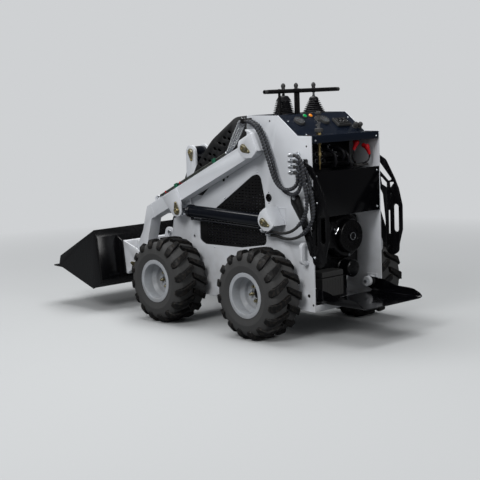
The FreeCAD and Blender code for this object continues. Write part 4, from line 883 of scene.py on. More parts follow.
@dataclass
class FrameDresser:
    """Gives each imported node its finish, with small real radii on the edges of sheet and cast pieces."""

    edge_radius: float = 1.4
    sharp: float = 32.0
    fine: tuple[str, ...] = ("side_grilles",)
    coats: dict[str, Coat] = field(default_factory=lambda: {
        "control_deck": Coat.DECK, "side_handles": Coat.WHITE, "hip_guard_left": Coat.GUARD_COAT,
        "hip_guard_right": Coat.GUARD_COAT, "bucket": Coat.GUARD_COAT,
    })
    eyes: dict[str, tuple[float, float]] = field(default_factory=lambda: {
        "lift_rod_left": (322.0, 614.0), "lift_rod_right": (322.0, 614.0), "tilt_rod": (772.0, 425.0),
    })
    eye_reach: float = 36.0

    def build(self) -> None:
        """Dresses every node that no other piece stands for."""
        slots = {row["node"]: row["material_slot"] for row in frame["record"]["subparts"]}
        bodies = {node: body for body, nodes in frame["record"]["behaviour"]["bodies"].items()
                  for node in nodes}
        for node, item in frame["nodes"].items():
            if not item.hide_render:
                self.rounded(node, self.coats.get(node, SLOT_COATS[slots[node]]), bodies[node])

    def rounded(self, node: str, coat: Coat, body: str) -> None:
        """Makes a copy of a node with merged corners and softened edges, which stands for it.

        Args:
            node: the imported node.
            coat: its finish.
            body: the body that it moves with.
        """
        shape = bmesh.new()
        shape.from_mesh(frame["nodes"][node].data)
        bmesh.ops.remove_doubles(shape, verts=shape.verts, dist=0.02 * MM)
        bmesh.ops.dissolve_limit(shape, angle_limit=math.radians(1.0), verts=shape.verts,
                                 edges=shape.edges)
        mesh = bpy.data.meshes.new(node + "_dressed")
        shape.to_mesh(mesh)
        shape.free()
        mesh.shade_smooth()
        mesh.materials.append(coat.value.material())
        if node in self.eyes:
            self.blacken_eye(mesh, self.eyes[node])
        piece = bpy.data.objects.new(node + "_dressed", mesh)
        bpy.context.scene.collection.objects.link(piece)
        if node in self.fine:
            mesh.shade_flat()
        else:
            bevel = piece.modifiers.new("edge_radius", "BEVEL")
            bevel.width = self.edge_radius * MM
            bevel.segments = 2
            bevel.limit_method = "ANGLE"
            bevel.angle_limit = math.radians(self.sharp)
            bevel.harden_normals = True
        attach(piece, body)
        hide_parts(node)
        log.info("%s: %d faces", node, len(mesh.polygons))

    def blacken_eye(self, mesh: bpy.types.Mesh, pin: tuple[float, float]) -> None:
        """Gives the eye of a cylinder rod the enamel of the barrels.

        Args:
            mesh: the rod with its eye.
            pin: the X and Z of the pin in the eye.
        """
        mesh.materials.append(Coat.BARREL.value.material())
        middle = placed((pin[0], 0.0, pin[1]))
        for face in mesh.polygons:
            if math.hypot(face.center.x - middle.x, face.center.z - middle.z) < self.eye_reach * MM:
                face.material_index = 1


@dataclass
class Tyre:
    """A pneumatic tyre with two rows of staggered, curved lugs whose middle ends lead."""

    radius: float = 233.4
    carcass: float = 215.0
    half: float = 106.0
    tread_half: float = 82.0
    lugs: int = 16
    lug_width: float = 30.0
    sweep: float = 44.0
    facets: int = 96

    def build(self, name: str, middle: Point) -> bpy.types.Object:
        """Makes one tyre about its axle.

        Args:
            name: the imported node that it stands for.
            middle: the wheel's middle.

        Returns:
            The finished tyre.
        """
        shape = Shape(name + "_rubber", name.replace("tyre", "wheel"))
        upright = Matrix.Translation(Vector(middle)) @ Matrix.Rotation(-math.pi / 2, 4, "X")
        shape.take(self.body(), Coat.TYRE, upright)
        rubber = bmesh.new()
        for side in (1, -1):
            for index in range(self.lugs):
                angle = 180 + (360 / self.lugs) * (index - 0.25 + (0.5 if side < 0 else 0.0))
                self.lug(rubber, math.radians(angle), side)
        shape.take(rubber, Coat.TREAD, Matrix.Translation(Vector(middle)))
        return shape.finish(name, slot="tyre_rubber", sharp=50.0)

    def body(self) -> bmesh.types.BMesh:
        """Turns the carcass with its moulded rings."""
        half = [(103.0, 76.0), (108.0, 88.0), (112.0, 93.0), (118.0, 94.0), (121.0, 98.5), (127.0, 99.0),
                (130.0, 101.0), (150.0, 105.0), (153.0, 106.0), (157.0, 106.0), (160.0, 104.6),
                (180.0, 102.0), (192.0, 98.0), (203.0, 92.0), (211.0, 84.0), (214.5, 74.0),
                (self.carcass, 40.0)]
        profile = [(y, r) for r, y in half] + [(-y, r) for r, y in reversed(half)]
        return turned(profile + profile[:1], self.facets)

    def lug(self, shape: bmesh.types.BMesh, angle: float, side: int) -> None:
        """Adds one lug, from the tread's middle round the shoulder and down the side wall.

        Args:
            shape: what it is added to.
            angle: its place round the tyre, in radians from the top towards the front.
            side: 1 for the left row, -1 for the right one.
        """
        stations = ((-4, 233.4, 24, 0.0), (6, 233.4, 27, 0.1), (26, 233.4, 29, 0.36), (48, 233.2, 31, 0.6),
                    (68, 232.6, 34, 0.82), (80, 230.5, 37, 0.94), (90, 224.0, 39, 1.04),
                    (99, 212.0, 38, 1.12), (105, 200.0, 34, 1.17), (107.5, 190.0, 26, 1.2),
                    (105, 184.0, 18, 1.22))
        rings = []
        for y, top, width, share in stations:
            lead = self.sweep * (0.5 - share)
            low = min(top - 6.0, 206.0) if y < 95 else top - 9.0
            inward = 0.0 if y < 95 else 7.0
            ring = []
            for offset, radius, shift in ((-width / 2 - 3.5, low, inward), (-width / 2, top - 2.5, 0.0),
                                          (-width / 2 + 2.5, top, 0.0), (width / 2 - 2.5, top, 0.0),
                                          (width / 2, top - 2.5, 0.0), (width / 2 + 3.5, low, inward)):
                turn = angle + (lead + offset) / self.carcass
                ring.append(shape.verts.new((radius * math.sin(turn), (y - shift) * side,
                                             radius * math.cos(turn))))
            rings.append(ring)
        for first, second in zip(rings, rings[1:]):
            for k in range(6):
                shape.faces.new((first[k], first[(k + 1) % 6], second[(k + 1) % 6], second[k]))
        shape.faces.new(rings[0])
        shape.faces.new(rings[-1][::-1])


@dataclass
class WheelTrim:
    """The nuts, hub cap and valve of one wheel, on its packed rim."""

    stud_circle: float = 40.0
    nuts: int = 5
    disc_face: float = 393.0

    def build(self, name: str, middle: Point, sign: int) -> None:
        """Sets the trim on one wheel.

        Args:
            name: the wheel's body.
            middle: the wheel's middle.
            sign: 1 on the left side, -1 on the right.
        """
        shape = Shape(name + "_trim", name)
        out = (0, sign, 0)
        face = self.disc_face * sign
        for k in range(self.nuts):
            a = math.tau * k / self.nuts + 0.5
            at = (middle[0] + self.stud_circle * math.sin(a), face, middle[2] + self.stud_circle * math.cos(a))
            shape.take(turned([(0, 0), (0, 10.5), (2, 11.5), (3, 9.8), (13, 9.8), (15, 7.6), (15, 0)], 6),
                       Coat.GOLD, facing(at, out, 20 * k))
            shape.take(turned([(12, 0), (12, 7.2), (23, 7.2), (24.5, 6), (24.5, 0)], 16), Coat.GOLD,
                       facing(at, out))
        shape.take(turned([(-18, 0), (-18, 27.8), (4, 27.8), (6, 26), (7, 20), (3, 18), (3, 8), (5, 6),
                           (5, 0)], 32), Coat.BLACK, facing((middle[0], face, middle[2]), out))
        valve = (middle[0] - 62, face, middle[2] + 48)
        shape.take(plate(circle(-9, 0, 9, 14)[4:11] + circle(9, 0, 9, 14)[11:] + circle(9, 0, 9, 14)[:4], 1.2,
                         edge=0.4), Coat.BLACK, facing(valve, out, 30))
        shape.take(turned([(0, 4.6), (6, 4.4), (8, 3.2), (24, 3.0), (25, 4), (31, 4), (32, 3), (32, 0)], 12),
                   Coat.BOOT, facing(valve, (0.1, sign, 0)))
        shape.finish(slot="rim_silver")


@dataclass
class Hose:
    """A hydraulic hose with its spiral guard."""

    name: str
    route: tuple[Point, ...]
    guard: tuple[float, float] = (0.03, 0.97)
    rubber_radius: float = 7.6
    guard_radius: float = 10.4
    groove: float = 3.4
    pitch: float = 16.5

    def build(self) -> None:
        """Makes the rubber hose as a curve with its guard on it."""
        plain = line_points(spline(self.name + "_line", self.route))
        guard = Shape(self.name + "_guard")
        low, high = self.guard
        even = evenly(plain, 1.7)
        count = len(even)
        covered = even[int(low * count):int(high * count)]
        guard.take(swept(covered, 16, self.ribbed), Coat.GUARD)
        wrap = guard.finish(slot="hose_rubber", sharp=70.0)
        rubber = spline(self.name + "_rubber", self.route, self.rubber_radius)
        bpy.context.scene.collection.objects.link(rubber)
        rubber.data.materials.append(Coat.HOSE.value.material())
        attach(rubber, "chassis")
        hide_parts(self.name)

    def ribbed(self, along: float, angle: float) -> float:
        """Gives the guard's radius, a broad band that winds along a helix with a narrow groove."""
        wave = 0.5 + 0.5 * math.cos(math.tau * along / self.pitch - angle)
        return self.guard_radius - self.groove * (1.0 - min(1.0, max(0.0, wave - 0.34) * 6.0))


HOSES = (
    Hose("hose_upper_inner", (
        (-215, 286, 1112), (-241, 286, 1112), (-290, 286, 1092), (-324, 286, 1050), (-348, 286, 998),
        (-371, 286, 946), (-392, 286, 891), (-411, 288, 836), (-440, 292, 788), (-482, 297, 755),
        (-534, 304, 741), (-586, 312, 752), (-616, 318, 788), (-628, 322, 830), (-622, 322, 862),
        (-604, 322, 885), (-578, 322, 885))),
    Hose("hose_upper_outer", (
        (-215, 312, 1112), (-241, 312, 1112), (-290, 312, 1093), (-324, 312, 1051), (-348, 312, 999),
        (-371, 312, 947), (-392, 312, 892), (-411, 312, 842), (-436, 312, 800), (-476, 316, 773),
        (-522, 320, 766), (-566, 322, 776), (-598, 322, 800), (-604, 322, 832), (-596, 322, 856),
        (-578, 322, 856))),
    Hose("hose_lower_outer", (
        (-578, 322, 943), (-608, 322, 943), (-641, 328, 904), (-651, 330, 846), (-657, 330, 795),
        (-668, 330, 743), (-670, 330, 690), (-654, 330, 643), (-616, 330, 600), (-570, 328, 567),
        (-520, 325, 549), (-465, 322, 543), (-405, 322, 549), (-360, 322, 549)), guard=(0.03, 0.62)),
    Hose("hose_lower_inner", (
        (-578, 322, 914), (-604, 322, 914), (-638, 306, 878), (-654, 298, 828), (-662, 298, 780),
        (-676, 298, 734), (-686, 300, 686), (-686, 304, 641), (-666, 308, 594), (-625, 310, 553),
        (-575, 310, 527), (-520, 308, 515), (-465, 304, 516), (-418, 300, 526), (-378, 300, 526)),
        guard=(0.03, 0.66)),
)


@dataclass
class HoseFittings:
    """The bulkhead elbows, the lower ports and the clamp where the hoses leave the hull's top."""

    face: float = 258.0
    layer: float = 322.0

    def build(self) -> None:
        """Makes all fittings and the clamp as one piece."""
        shape = Shape("hydraulic_fittings")
        for z in (943, 914, 885, 856):
            self.elbow(shape, -548, z, self.layer, 40)
        self.elbow(shape, -330, 549, self.layer, 40)
        self.elbow(shape, -348, 526, self.layer - 22, 40)
        shape.take(box(24, 66, 28, 4), Coat.BLACK, Matrix.Translation((-203, self.face + 33, 1112)))
        for y in (274, 300, 318):
            shape.bolt((-203, y, 1126), (0, 0, 1), 3.4, washer=False, dome=True)
        shape.finish("hose_fittings", slot="zinc")

    def elbow(self, shape: Shape, x: float, z: float, y: float, length: float) -> None:
        """Adds one elbow: jam nut, stem, forged bend, swivel nut and crimped ferrule.

        Args:
            shape: what it is added to.
            x: the stem's place.
            z: the stem's height.
            y: how far out the bend lies.
            length: the length of nut and ferrule along the hose.
        """
        stem = facing((x, self.face, z), (0, 1, 0), 12)
        shape.take(turned([(0, 0), (0, 14), (7, 14), (8.5, 12.2), (8.5, 0)], 6), Coat.ZINC, stem)
        shape.take(turned([(0, 8.6), (y - self.face - 14, 8.6), (y - self.face - 10, 10), (y - self.face, 10.2),
                           (y - self.face + 5, 8.5), (y - self.face + 8.5, 4), (y - self.face + 9, 0)], 16),
                   Coat.ZINC, stem)
        run = facing((x + 9, y, z), (-1, 0, 0), 8)
        shape.take(turned([(0, 0), (1, 5), (3, 8), (9, 9.3), (14, 9.3), (14, 0)], 16), Coat.ZINC, run)
        shape.take(turned([(13, 0), (13, 11), (14, 12.6), (24, 12.6), (25, 11), (25, 0)], 6), Coat.ZINC, run)
        grooves = [(25, 0), (25, 9.6)]
        for start in (28, 32, 36):
            grooves += [(start, 9.6), (start + 0.8, 8.9), (start + 2, 8.9), (start + 2.8, 9.6)]
        shape.take(turned([*grooves, (length, 9.6), (length, 0)], 18), Coat.ZINC, run)


def along_arm(back: float, below: float) -> tuple[float, float]:
    """Gives the place this far back from an arm's elbow and this far below its top edge."""
    slope = 0.4476
    run = 1 / math.hypot(1, slope)
    return 605 - run * back - slope * run * below, 622 + slope * run * back - run * below


@dataclass
class ArmPipes:
    """The two steel pipes on the left arm, their clamps, and the strands that join them to the hull."""

    pipe_y: tuple[float, float] = (313.0, 326.0)
    rise: float = 14.0
    rear: float = 767.0
    front: float = 110.0

    def build(self) -> None:
        """Makes the pipes with clamps and ties, then the strands."""
        shape = Shape("arm_pipework", "boom")
        for y in self.pipe_y:
            start, end = along_arm(self.rear, -self.rise), along_arm(self.front, -self.rise)
            way = (end[0] - start[0], 0, end[1] - start[1])
            length = math.hypot(way[0], way[2])
            shape.take(turned([(0, 0), (0, 5.5), (length, 5.5), (length, 0)], 16), Coat.PIPE,
                       facing((start[0], y, start[1]), way))
            for nut in (2.0, length - 24):
                shape.take(turned([(nut, 0), (nut, 6.2), (nut + 1, 6.9), (nut + 11, 6.9), (nut + 12, 6.2),
                                   (nut + 12, 0)], 6), Coat.ZINC, facing((start[0], y, start[1]), way, 10 * y))
        lean = Matrix.Rotation(math.atan(0.4476), 4, "Y")
        for back in (293, 650):
            x, z = along_arm(back, -12)
            shape.take(box(24, 34, 24, 3), Coat.GREEN, Matrix.Translation((x, 319, z)) @ lean)
            x, z = along_arm(back, -24)
            shape.bolt((x, 319, z), (0.41, 0, 0.91), 4.0, dome=True)
        for back in (190, 330):
            x, z = along_arm(back, -self.rise)
            shape.take(box(4, 28, 14, 1.6), Coat.RED, Matrix.Translation((x, 319.5, z)) @ lean)
        shape.finish("boom_pipes", slot="zinc")
        self.strands()

    def strands(self) -> None:
        """Makes the braided strands between the hull's clamp and the arm's pipes."""
        shape = Shape("pivot_hoses")
        end = along_arm(self.rear + 2, -self.rise)
        for index, (y, side) in enumerate(((276, -6), (288, 4), (301, -4), (314, 5))):
            rest = self.pipe_y[index // 2] + side * 0.6
            fan = 45.0 - 9.0 * index
            route = ((-192, y, 1112), (-174, y, 1111), (-156 - 0.3 * fan, y - 1, 1090),
                     (-118 - 0.8 * fan, (y + rest) / 2, 1035), (-96 - 0.8 * fan, rest - 3, 988),
                     (end[0] - 4 - 0.3 * fan, rest, end[1] + 16), (end[0], rest, end[1]))
            line = evenly(line_points(spline("pivot_hose_route", route)), 1.6)
            shape.take(swept(line, 14, self.braided), Coat.BRAID)
        piece = shape.finish(rigid=False)
        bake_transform(piece)


    def braided(self, along: float, angle: float) -> float:
        """Gives a strand's radius, crossed by two sets of coarse wire bundles."""
        turn = math.tau * along / 15
        return 5.4 + 0.6 * max(math.cos(turn - 2 * angle), math.cos(turn + 2 * angle))


@dataclass
class PinPlates:
    """The retainer plates, bolts and grease nipples on the pins, one row of the table for each pin."""

    pins: tuple[tuple[str, float, float, float, float], ...] = (
        ("chassis", -240, 974, 351, 203), ("chassis", -370, 597, 351, 200), ("boom", 322, 614, 350, 82),
        ("boom", 532, 915, 57, 262), ("tool", 700, 270, 356, 20),
    )

    def build(self) -> None:
        """Makes one piece of retainers for each body."""
        for body in ("chassis", "boom", "tool"):
            shape = Shape(f"pin_retainers_{body}", body)
            for owner, x, z, y, angle in self.pins:
                if owner == body:
                    for sign in (1, -1):
                        self.retainer(shape, x, z, y * sign, sign, angle)
            shape.finish(slot="zinc")

    def retainer(self, shape: Shape, x: float, z: float, y: float, sign: int, angle: float) -> None:
        """Adds one tear-drop plate on a pin's end with its bolt.

        Args:
            shape: what it is added to.
            x: the pin's place.
            z: the pin's height.
            y: the face that the plate lies on.
            sign: 1 on the left side, -1 on the right.
            angle: where the plate's small end points, in degrees from the front.
        """
        a = math.radians(angle)
        tip = (44 * math.cos(a), 44 * math.sin(a))
        start = math.degrees(a)
        big = [(22 * math.cos(math.radians(t)), 22 * math.sin(math.radians(t)))
               for t in range(int(start) + 70, int(start) + 291, 20)]
        small = [(tip[0] + 8 * math.cos(math.radians(t)), tip[1] + 8 * math.sin(math.radians(t)))
                 for t in range(int(start) - 66, int(start) + 67, 22)]
        drop = plate(big + small, 4.5, edge=0.8)
        shape.take(drop, Coat.GOLD, Matrix.Translation((x, 0, z)) @ across("Y", y if sign > 0 else y - 4.5))
        out = (0, sign, 0)
        shape.take(turned([(0, 0), (0, 15.8), (9, 15.8), (10.5, 14.5), (10.5, 6), (8.5, 4.5), (8.5, 0)], 28),
                   Coat.GOLD, facing((x, y, z), out))
        shape.bolt((x + tip[0], y + 4.5 * sign, z + tip[1]), out, 6.0, Coat.GOLD)
        shape.take(turned([(8, 3), (12, 3), (13, 2.2), (14, 2.6), (16, 1.4), (16, 0)], 10), Coat.BRASS,
                   facing((x, y, z), out))


@dataclass
class BoltRows:
    """Bolts that show on the hull, guards and panels. Columns: X, Y, Z, direction, size, dome."""

    rows: tuple[tuple[float, float, float, str, float, bool], ...] = (
        (-695, 284, 706, "+Y", 5, True), (-671, 284, 431, "+Y", 8, True), (-604, 284, 912, "+Y", 7, True),
        (-533, 284, 724, "+Y", 10, False), (-628, 284, 800, "+Y", 5, True),
        (-639, 227, 1012, "-X", 6, True), (-639, -233, 1012, "-X", 6, True),
        (-639, -232, 832, "-X", 6, True), (-639, -231, 640, "-X", 6, True), (-639, 226, 832, "-X", 6, True),
        (-639, 227, 640, "-X", 6, True),
        (19, 258, 692, "+Y", 6, True), (-241, 258, 845, "+Y", 6, True), (150, 258, 618, "+Y", 5, True),
        (120, 258, 418, "+Y", 5, True), (-160, 258, 421, "+Y", 5, True), (-304, 258, 640, "+Y", 5, True),
    )

    def build(self) -> None:
        """Sets the bolts, those on a hull plate on both sides, and thin near-black discs of painted shade where holes
        show in the hull plates.
        """
        shape = Shape("hull_bolts")
        for x, y, z, way, size, dome in self.rows:
            if way == "-X":
                shape.bolt((x, y, z), (-1, 0, 0), size, dome=dome)
            else:
                for sign in (1, -1):
                    shape.bolt((x, y * sign, z), (0, sign, 0), size, dome=dome)
        for x, y, share in ((-447, 224, 0.31), (-446, -230, 0.3), (-540, 186, 0.98)):
            at = Slope.place(share, y)
            shape.bolt(at, Slope.normal, 4.5, dome=True)
        for sign in (1, -1):
            # Painted shade: thin near-black discs on the hull plates stand for the dark inside of holes.
            for x, z, radius in ((-346, 1110, 5), (-605, 985, 5), (-598, 225, 9), (-6, 813, 10),
                                 (24, 792, 10), (-627, 180, 6), (-627, 560, 5), (400, 180, 6)):
                shape.take(turned([(0.05, 0), (0.05, radius), (0.7, radius - 0.8), (0.7, 0)], 24), Coat.SHADOW,
                           facing((x, 258 * sign, z), (0, sign, 0)))
            for z in (740, 684):
                shape.bolt((-323, 258 * sign, z), (0, sign, 0), 3.5, Coat.BLACK, dome=True, washer=False)
            shape.take(turned([(0, 18.9), (0, 21.5), (2.2, 21), (3, 19.6), (2.2, 18), (-8, 17.6), (-8, 18.9),
                               (0, 18.9)], 32), Coat.BOOT, facing((-323, 258 * sign, 712), (0, sign, 0)))
        shape.finish(slot="zinc")


class Slope:
    """The sloping instrument face behind the levers."""

    top: tuple[float, float] = (-405.0, 1138.0)
    foot: tuple[float, float] = (-541.0, 1036.0)
    normal: tuple[float, float, float] = (-0.6, 0.0, 0.8)

    @classmethod
    def place(cls, share: float, y: float) -> tuple[float, float, float]:
        """Gives the place this share of the way down the slope."""
        return (cls.top[0] + (cls.foot[0] - cls.top[0]) * share, y,
                cls.top[1] + (cls.foot[1] - cls.top[1]) * share)

    @classmethod
    def seat(cls, share: float, y: float, lift: float = 0.0) -> Matrix:
        """Gives the matrix of something that sits on the slope: its X down the slope, its Y to the right."""
        place = Vector(cls.place(share, y)) + Vector(cls.normal) * lift
        turn = Matrix(((-0.8, 0, -0.6), (0, -1, 0), (-0.6, 0, 0.8))).to_4x4()
        return Matrix.Translation(place) @ turn


@dataclass
class Bellows:
    """A ringed rubber boot round a lever's foot, the left one square and the right one round."""

    x: float = -300.0
    deck: float = 1138.0
    # Y, base radius, lowest ring, step of the rings, rings, their pitch, the top's profile, squareness
    rows: tuple[tuple[float, float, float, float, int, float, tuple[Point, ...], float], ...] = (
        (108.0, 52.0, 52.0, 2.2, 7, 9.0, ((0, 36), (3, 36), (20, 26), (25, 22), (27.5, 14), (28, 0)), 0.22),
        (-120.0, 60.0, 57.0, 4.8, 6, 10.0, ((0, 26), (6, 26), (13, 22.5), (18, 16), (20, 9), (20, 0)), 0.0),
    )

    def build(self) -> None:
        """Makes both boots."""
        shape = Shape("lever_boots")
        for y, base, first, step, count, pitch, cap, square in self.rows:
            profile: list[Point] = [(0, 0), (0, base), (4, base), (6.5, base - 3)]
            for ring in range(count):
                low, wide = 7 + pitch * ring, first - step * ring
                profile += [(low + 0.04 * pitch, wide - 10), (low + 0.3 * pitch, wide - 1),
                            (low + 0.5 * pitch, wide), (low + 0.66 * pitch, wide - 1.4),
                            (low + 0.9 * pitch, wide - 12)]
            top = 7 + pitch * count
            profile += [(top + height, radius) for height, radius in cap]
            shape.take(turned(profile, 48, square), Coat.BOOT, Matrix.Translation((self.x, y, self.deck)))
            for angle in (0, 90, 180, 270):
                a = math.radians(angle)
                shape.bolt((self.x + (base - 4.5) * math.cos(a), y + (base - 4.5) * math.sin(a), self.deck + 4),
                           (0, 0, 1), 2.2, dome=True, washer=False)
        shape.finish("lever_bellows", slot="black_rubber", sharp=60.0)


@dataclass
class Levers:
    """The three control levers with their pointed knobs."""

    deck: float = 1138.0

    def build(self) -> None:
        """Makes the levers."""
        shape = Shape("control_levers")
        bullet = [(0, 0), (0, 7.5), (2, 9.5), (6, 10.2), (9, 9.2), (12, 9.6), (20, 12), (26, 11.6), (31, 9),
                  (35, 5), (36.5, 2), (37, 0)]
        for y, foot, stem in ((108.0, 98.0, Coat.BLACK), (-120.0, 87.0, Coat.CHROME)):
            shape.take(turned([(foot, 0), (foot, 8), (foot + 7, 8), (foot + 8, 6), (130, 6), (130, 0)], 18),
                       stem, Matrix.Translation((-300, y, self.deck)))
            shape.take(turned([(108, 0), (108, 9.4), (116, 9.4), (117, 8), (117, 0)], 6), Coat.ZINC,
                       Matrix.Translation((-300, y, self.deck)))
            shape.take(turned(bullet, 24), Coat.PLASTIC, Matrix.Translation((-300, y, self.deck + 126)))
        shape.take(plate([(-8, 0, 3), (8, 0, 3), (8, 128, 8), (-8, 128, 8)], 7, edge=0.8), Coat.BLACK,
                   Matrix.Translation((-304.5, 14, self.deck)) @ across("X", 0))
        shape.take(turned([(a, r * 0.96) for a, r in bullet], 24), Coat.PLASTIC,
                   Matrix.Translation((-301, 14, self.deck + 126)))
        shape.take(box(22, 34, 5, 1.2), Coat.BLACK, Matrix.Translation((-301, 14, self.deck + 2.6)))
        shape.finish("levers", slot="black_paint", sharp=45.0)


@dataclass
class HandleBar:
    """The grab bar across the levers, on its three posts."""

    radius: float = 11.0
    half: float = 280.0
    place: tuple[float, float] = (-335.0, 1259.0)

    def build(self) -> None:
        """Makes bar, grip ends and posts."""
        shape = Shape("grab_bar")
        x, z = self.place
        bar = [(0, 0), (0, 8.5), (1.5, 10.2), (20, 10.2), (21.5, 9.4), (23, 11), (537, 11), (538.5, 9.4),
               (540, 10.2), (558.5, 10.2), (560, 8.5), (560, 0)]
        shape.take(turned(bar, 24), Coat.BLACK, facing((x, -self.half, z), (0, 1, 0)))
        for y in (-self.half, self.half - 20):
            shape.take(turned([(0, 0), (0.4, 8.2), (2, 10.6), (19, 10.6), (20, 10.0), (20, 0)], 24),
                       Coat.PLASTIC, facing((x, y, z), (0, 1, 0)))
        for y in (172.0, 55.0, 32.0):
            shape.take(plate([(-5, 0, 0), (5, 0, 0), (5, 114, 2), (-5, 114, 2)], 10, edge=1.0), Coat.BLACK,
                       Matrix.Translation((x, y - 5, 1138)) @ across("Y", 0))
            shape.take(turned([(0, 0), (0, 12.6), (10, 12.6), (10, 0)], 24), Coat.BLACK,
                       facing((x, y - 5, z), (0, 1, 0)))
        shape.finish("handle_bar", slot="black_paint", sharp=45.0)


@dataclass
class Instruments:
    """Gauges, lamps, key, switches and knobs of the instrument slope."""

    def build(self) -> None:
        """Makes them as one piece."""
        shape = Shape("instrument_set")
        for share, y in ((0.36, 153), (0.38, -29)):
            self.gauge(shape, Slope.seat(share, y))
        for share, y, lens in ((0.12, 78, Coat.LAMP_GREEN), (0.12, 36, Coat.LAMP_ORANGE)):
            seat = Slope.seat(share, y)
            shape.take(turned([(0, 0), (0, 13), (3, 13), (4, 11.6), (4, 0)], 28), Coat.PLASTIC, seat)
            shape.take(turned([(3, 0), (3, 11), (6.5, 11), (9, 8.6), (10.6, 4.6), (11, 0)], 28), lens, seat)
        key = Slope.seat(0.27, 10)
        shape.take(turned([(0, 0), (0, 14), (3, 14), (4, 12), (8, 12), (9, 10.5), (9, 0)], 28), Coat.PLASTIC, key)
        shape.take(box(4, 17, 8, 1), Coat.CHROME, key @ Matrix.Translation((0, 0, 12)))
        self.switches(shape, Slope.seat(0.55, -136))
        knob = Slope.seat(0.62, 56)
        shape.take(turned([(0, 0), (0, 10), (4, 10), (5, 5), (14, 5), (15, 9), (24, 9.6), (26, 8), (26, 0)], 20),
                   Coat.PLASTIC, knob)
        for share, y in ((0.78, -206), (0.80, -238)):
            seat = Slope.seat(share, y)
            shape.take(turned([(0, 0), (0, 15), (2, 15), (3, 10), (8, 10), (9, 13), (22, 13), (26, 11.5),
                               (29, 8), (30, 4), (30, 0)], 26), Coat.PLASTIC, seat)
            for k in range(6):
                a = math.tau * k / 6
                shape.take(box(3, 3, 11, 0.8), Coat.PLASTIC,
                           seat @ Matrix.Translation((13 * math.cos(a), 13 * math.sin(a), 16)))
        self.push_pull(shape)
        shape.finish("instruments", slot="black_plastic", sharp=40.0)

    def gauge(self, shape: Shape, seat: Matrix) -> None:
        """Adds one round gauge: black bezel, pale dial with its marks and needle, and glass."""
        shape.take(turned([(0, 0), (0, 30), (9, 30), (12, 29), (13.6, 27.2), (14, 25.8), (11.6, 25), (9.5, 24.8),
                           (9.5, 0)], 48), Coat.PLASTIC, seat)
        shape.take(turned([(9.6, 0), (9.6, 24.6), (9.9, 24.6), (9.9, 0)], 48), Coat.DIAL, seat)
        for k in range(9):
            a = math.radians(-135 + 270 * k / 8)
            mark = seat @ Matrix.Rotation(a, 4, "Z") @ Matrix.Translation((-20.5, 0, 10.1))
            shape.take(box(5 if k % 2 == 0 else 3, 1.0, 0.3, 0.0), Coat.MARK, mark)
        needle = seat @ Matrix.Rotation(0.7, 4, "Z") @ Matrix.Translation((-8, 0, 10.5))
        shape.take(box(19, 1.3, 0.4, 0.0), Coat.RED, needle)
        shape.take(turned([(10, 0), (10, 3), (11, 2.5), (11, 0)], 16), Coat.PLASTIC, seat)
        shape.take(turned([(12.2, 0), (12.2, 25.2), (12.7, 24.6), (13.1, 10), (13.2, 0)], 48), Coat.GLASS, seat)

    def switches(self, shape: Shape, seat: Matrix) -> None:
        """Adds the switch panel with its three rockers."""
        shape.take(box(58, 100, 16, 3.5), Coat.PLASTIC, seat @ Matrix.Translation((0, 0, 8)))
        shape.take(box(50, 92, 3, 2), Coat.GLOSS, seat @ Matrix.Translation((0, 0, 16.4)))
        for y in (-29, 0, 29):
            cell = seat @ Matrix.Translation((0, y, 17.6))
            shape.take(box(40, 23, 3, 1.2), Coat.PLASTIC, cell)
            for way in (-1, 1):
                tilt = Matrix.Translation((8.6 * way, 0, 2.4)) @ Matrix.Rotation(0.16 * way, 4, "Y")
                shape.take(box(17.5, 18, 3, 1.1), Coat.GLOSS, cell @ tilt)
            shape.take(box(5, 2, 0.5, 0.0), Coat.MARK, cell @ Matrix.Translation((9, 0, 4.2)))

    def push_pull(self, shape: Shape) -> None:
        """Adds the push-pull control on the ledge and its brass body below."""
        x, y = -566, 124
        foot = Matrix.Translation((x, y, 1036))
        shape.take(turned([(0, 0), (0, 15), (4, 15), (5, 12.6), (12, 12.6), (13, 0)], 6), Coat.BRASS, foot)
        shape.take(turned([(12, 0), (12, 20), (15, 22), (28, 22), (31, 20), (34, 12), (34, 0)], 32),
                   Coat.PLASTIC, foot)
        shape.take(turned([(32, 0), (32, 6.5), (70, 6.5), (70, 0)], 20), Coat.CHROME, foot)
        shape.take(turned([(66, 0), (66, 9), (70, 12), (80, 12), (84, 9), (100, 9), (104, 13), (115, 13),
                           (119, 9), (119, 0)], 24), Coat.PLASTIC, foot)
        for height, count in ((75, 4), (109, 3)):
            for k in range(count):
                arm = foot @ Matrix.Translation((0, 0, height)) @ Matrix.Rotation(
                    math.radians(30 + 360 / count * k), 4, "Z")
                shape.take(box(15, 8, 9, 3), Coat.PLASTIC, arm @ Matrix.Translation((12.5, 0, 0)))
        rod = Shape("needle_valve")
        rod.take(turned([(-178, 0), (-178, 4), (-150, 4), (-149, 8), (-138, 8), (-137, 6), (-112, 6), (-110, 10),
                         (-84, 10), (-82, 7.5), (-56, 7.5), (-54, 10.5), (-34, 10.5), (-32, 6.5), (-4, 6.5),
                         (-4, 0)], 20), Coat.BRASS, foot)
        for low in (-104, -48):
            rod.take(turned([(low, 0), (low, 12.5), (low + 11, 12.5), (low + 11, 0)], 6), Coat.BRASS, foot)
        rod.take(box(6, 34, 5, 1), Coat.ZINC, foot @ Matrix.Translation((0, 0, -46)))
        rod.finish(slot="zinc")


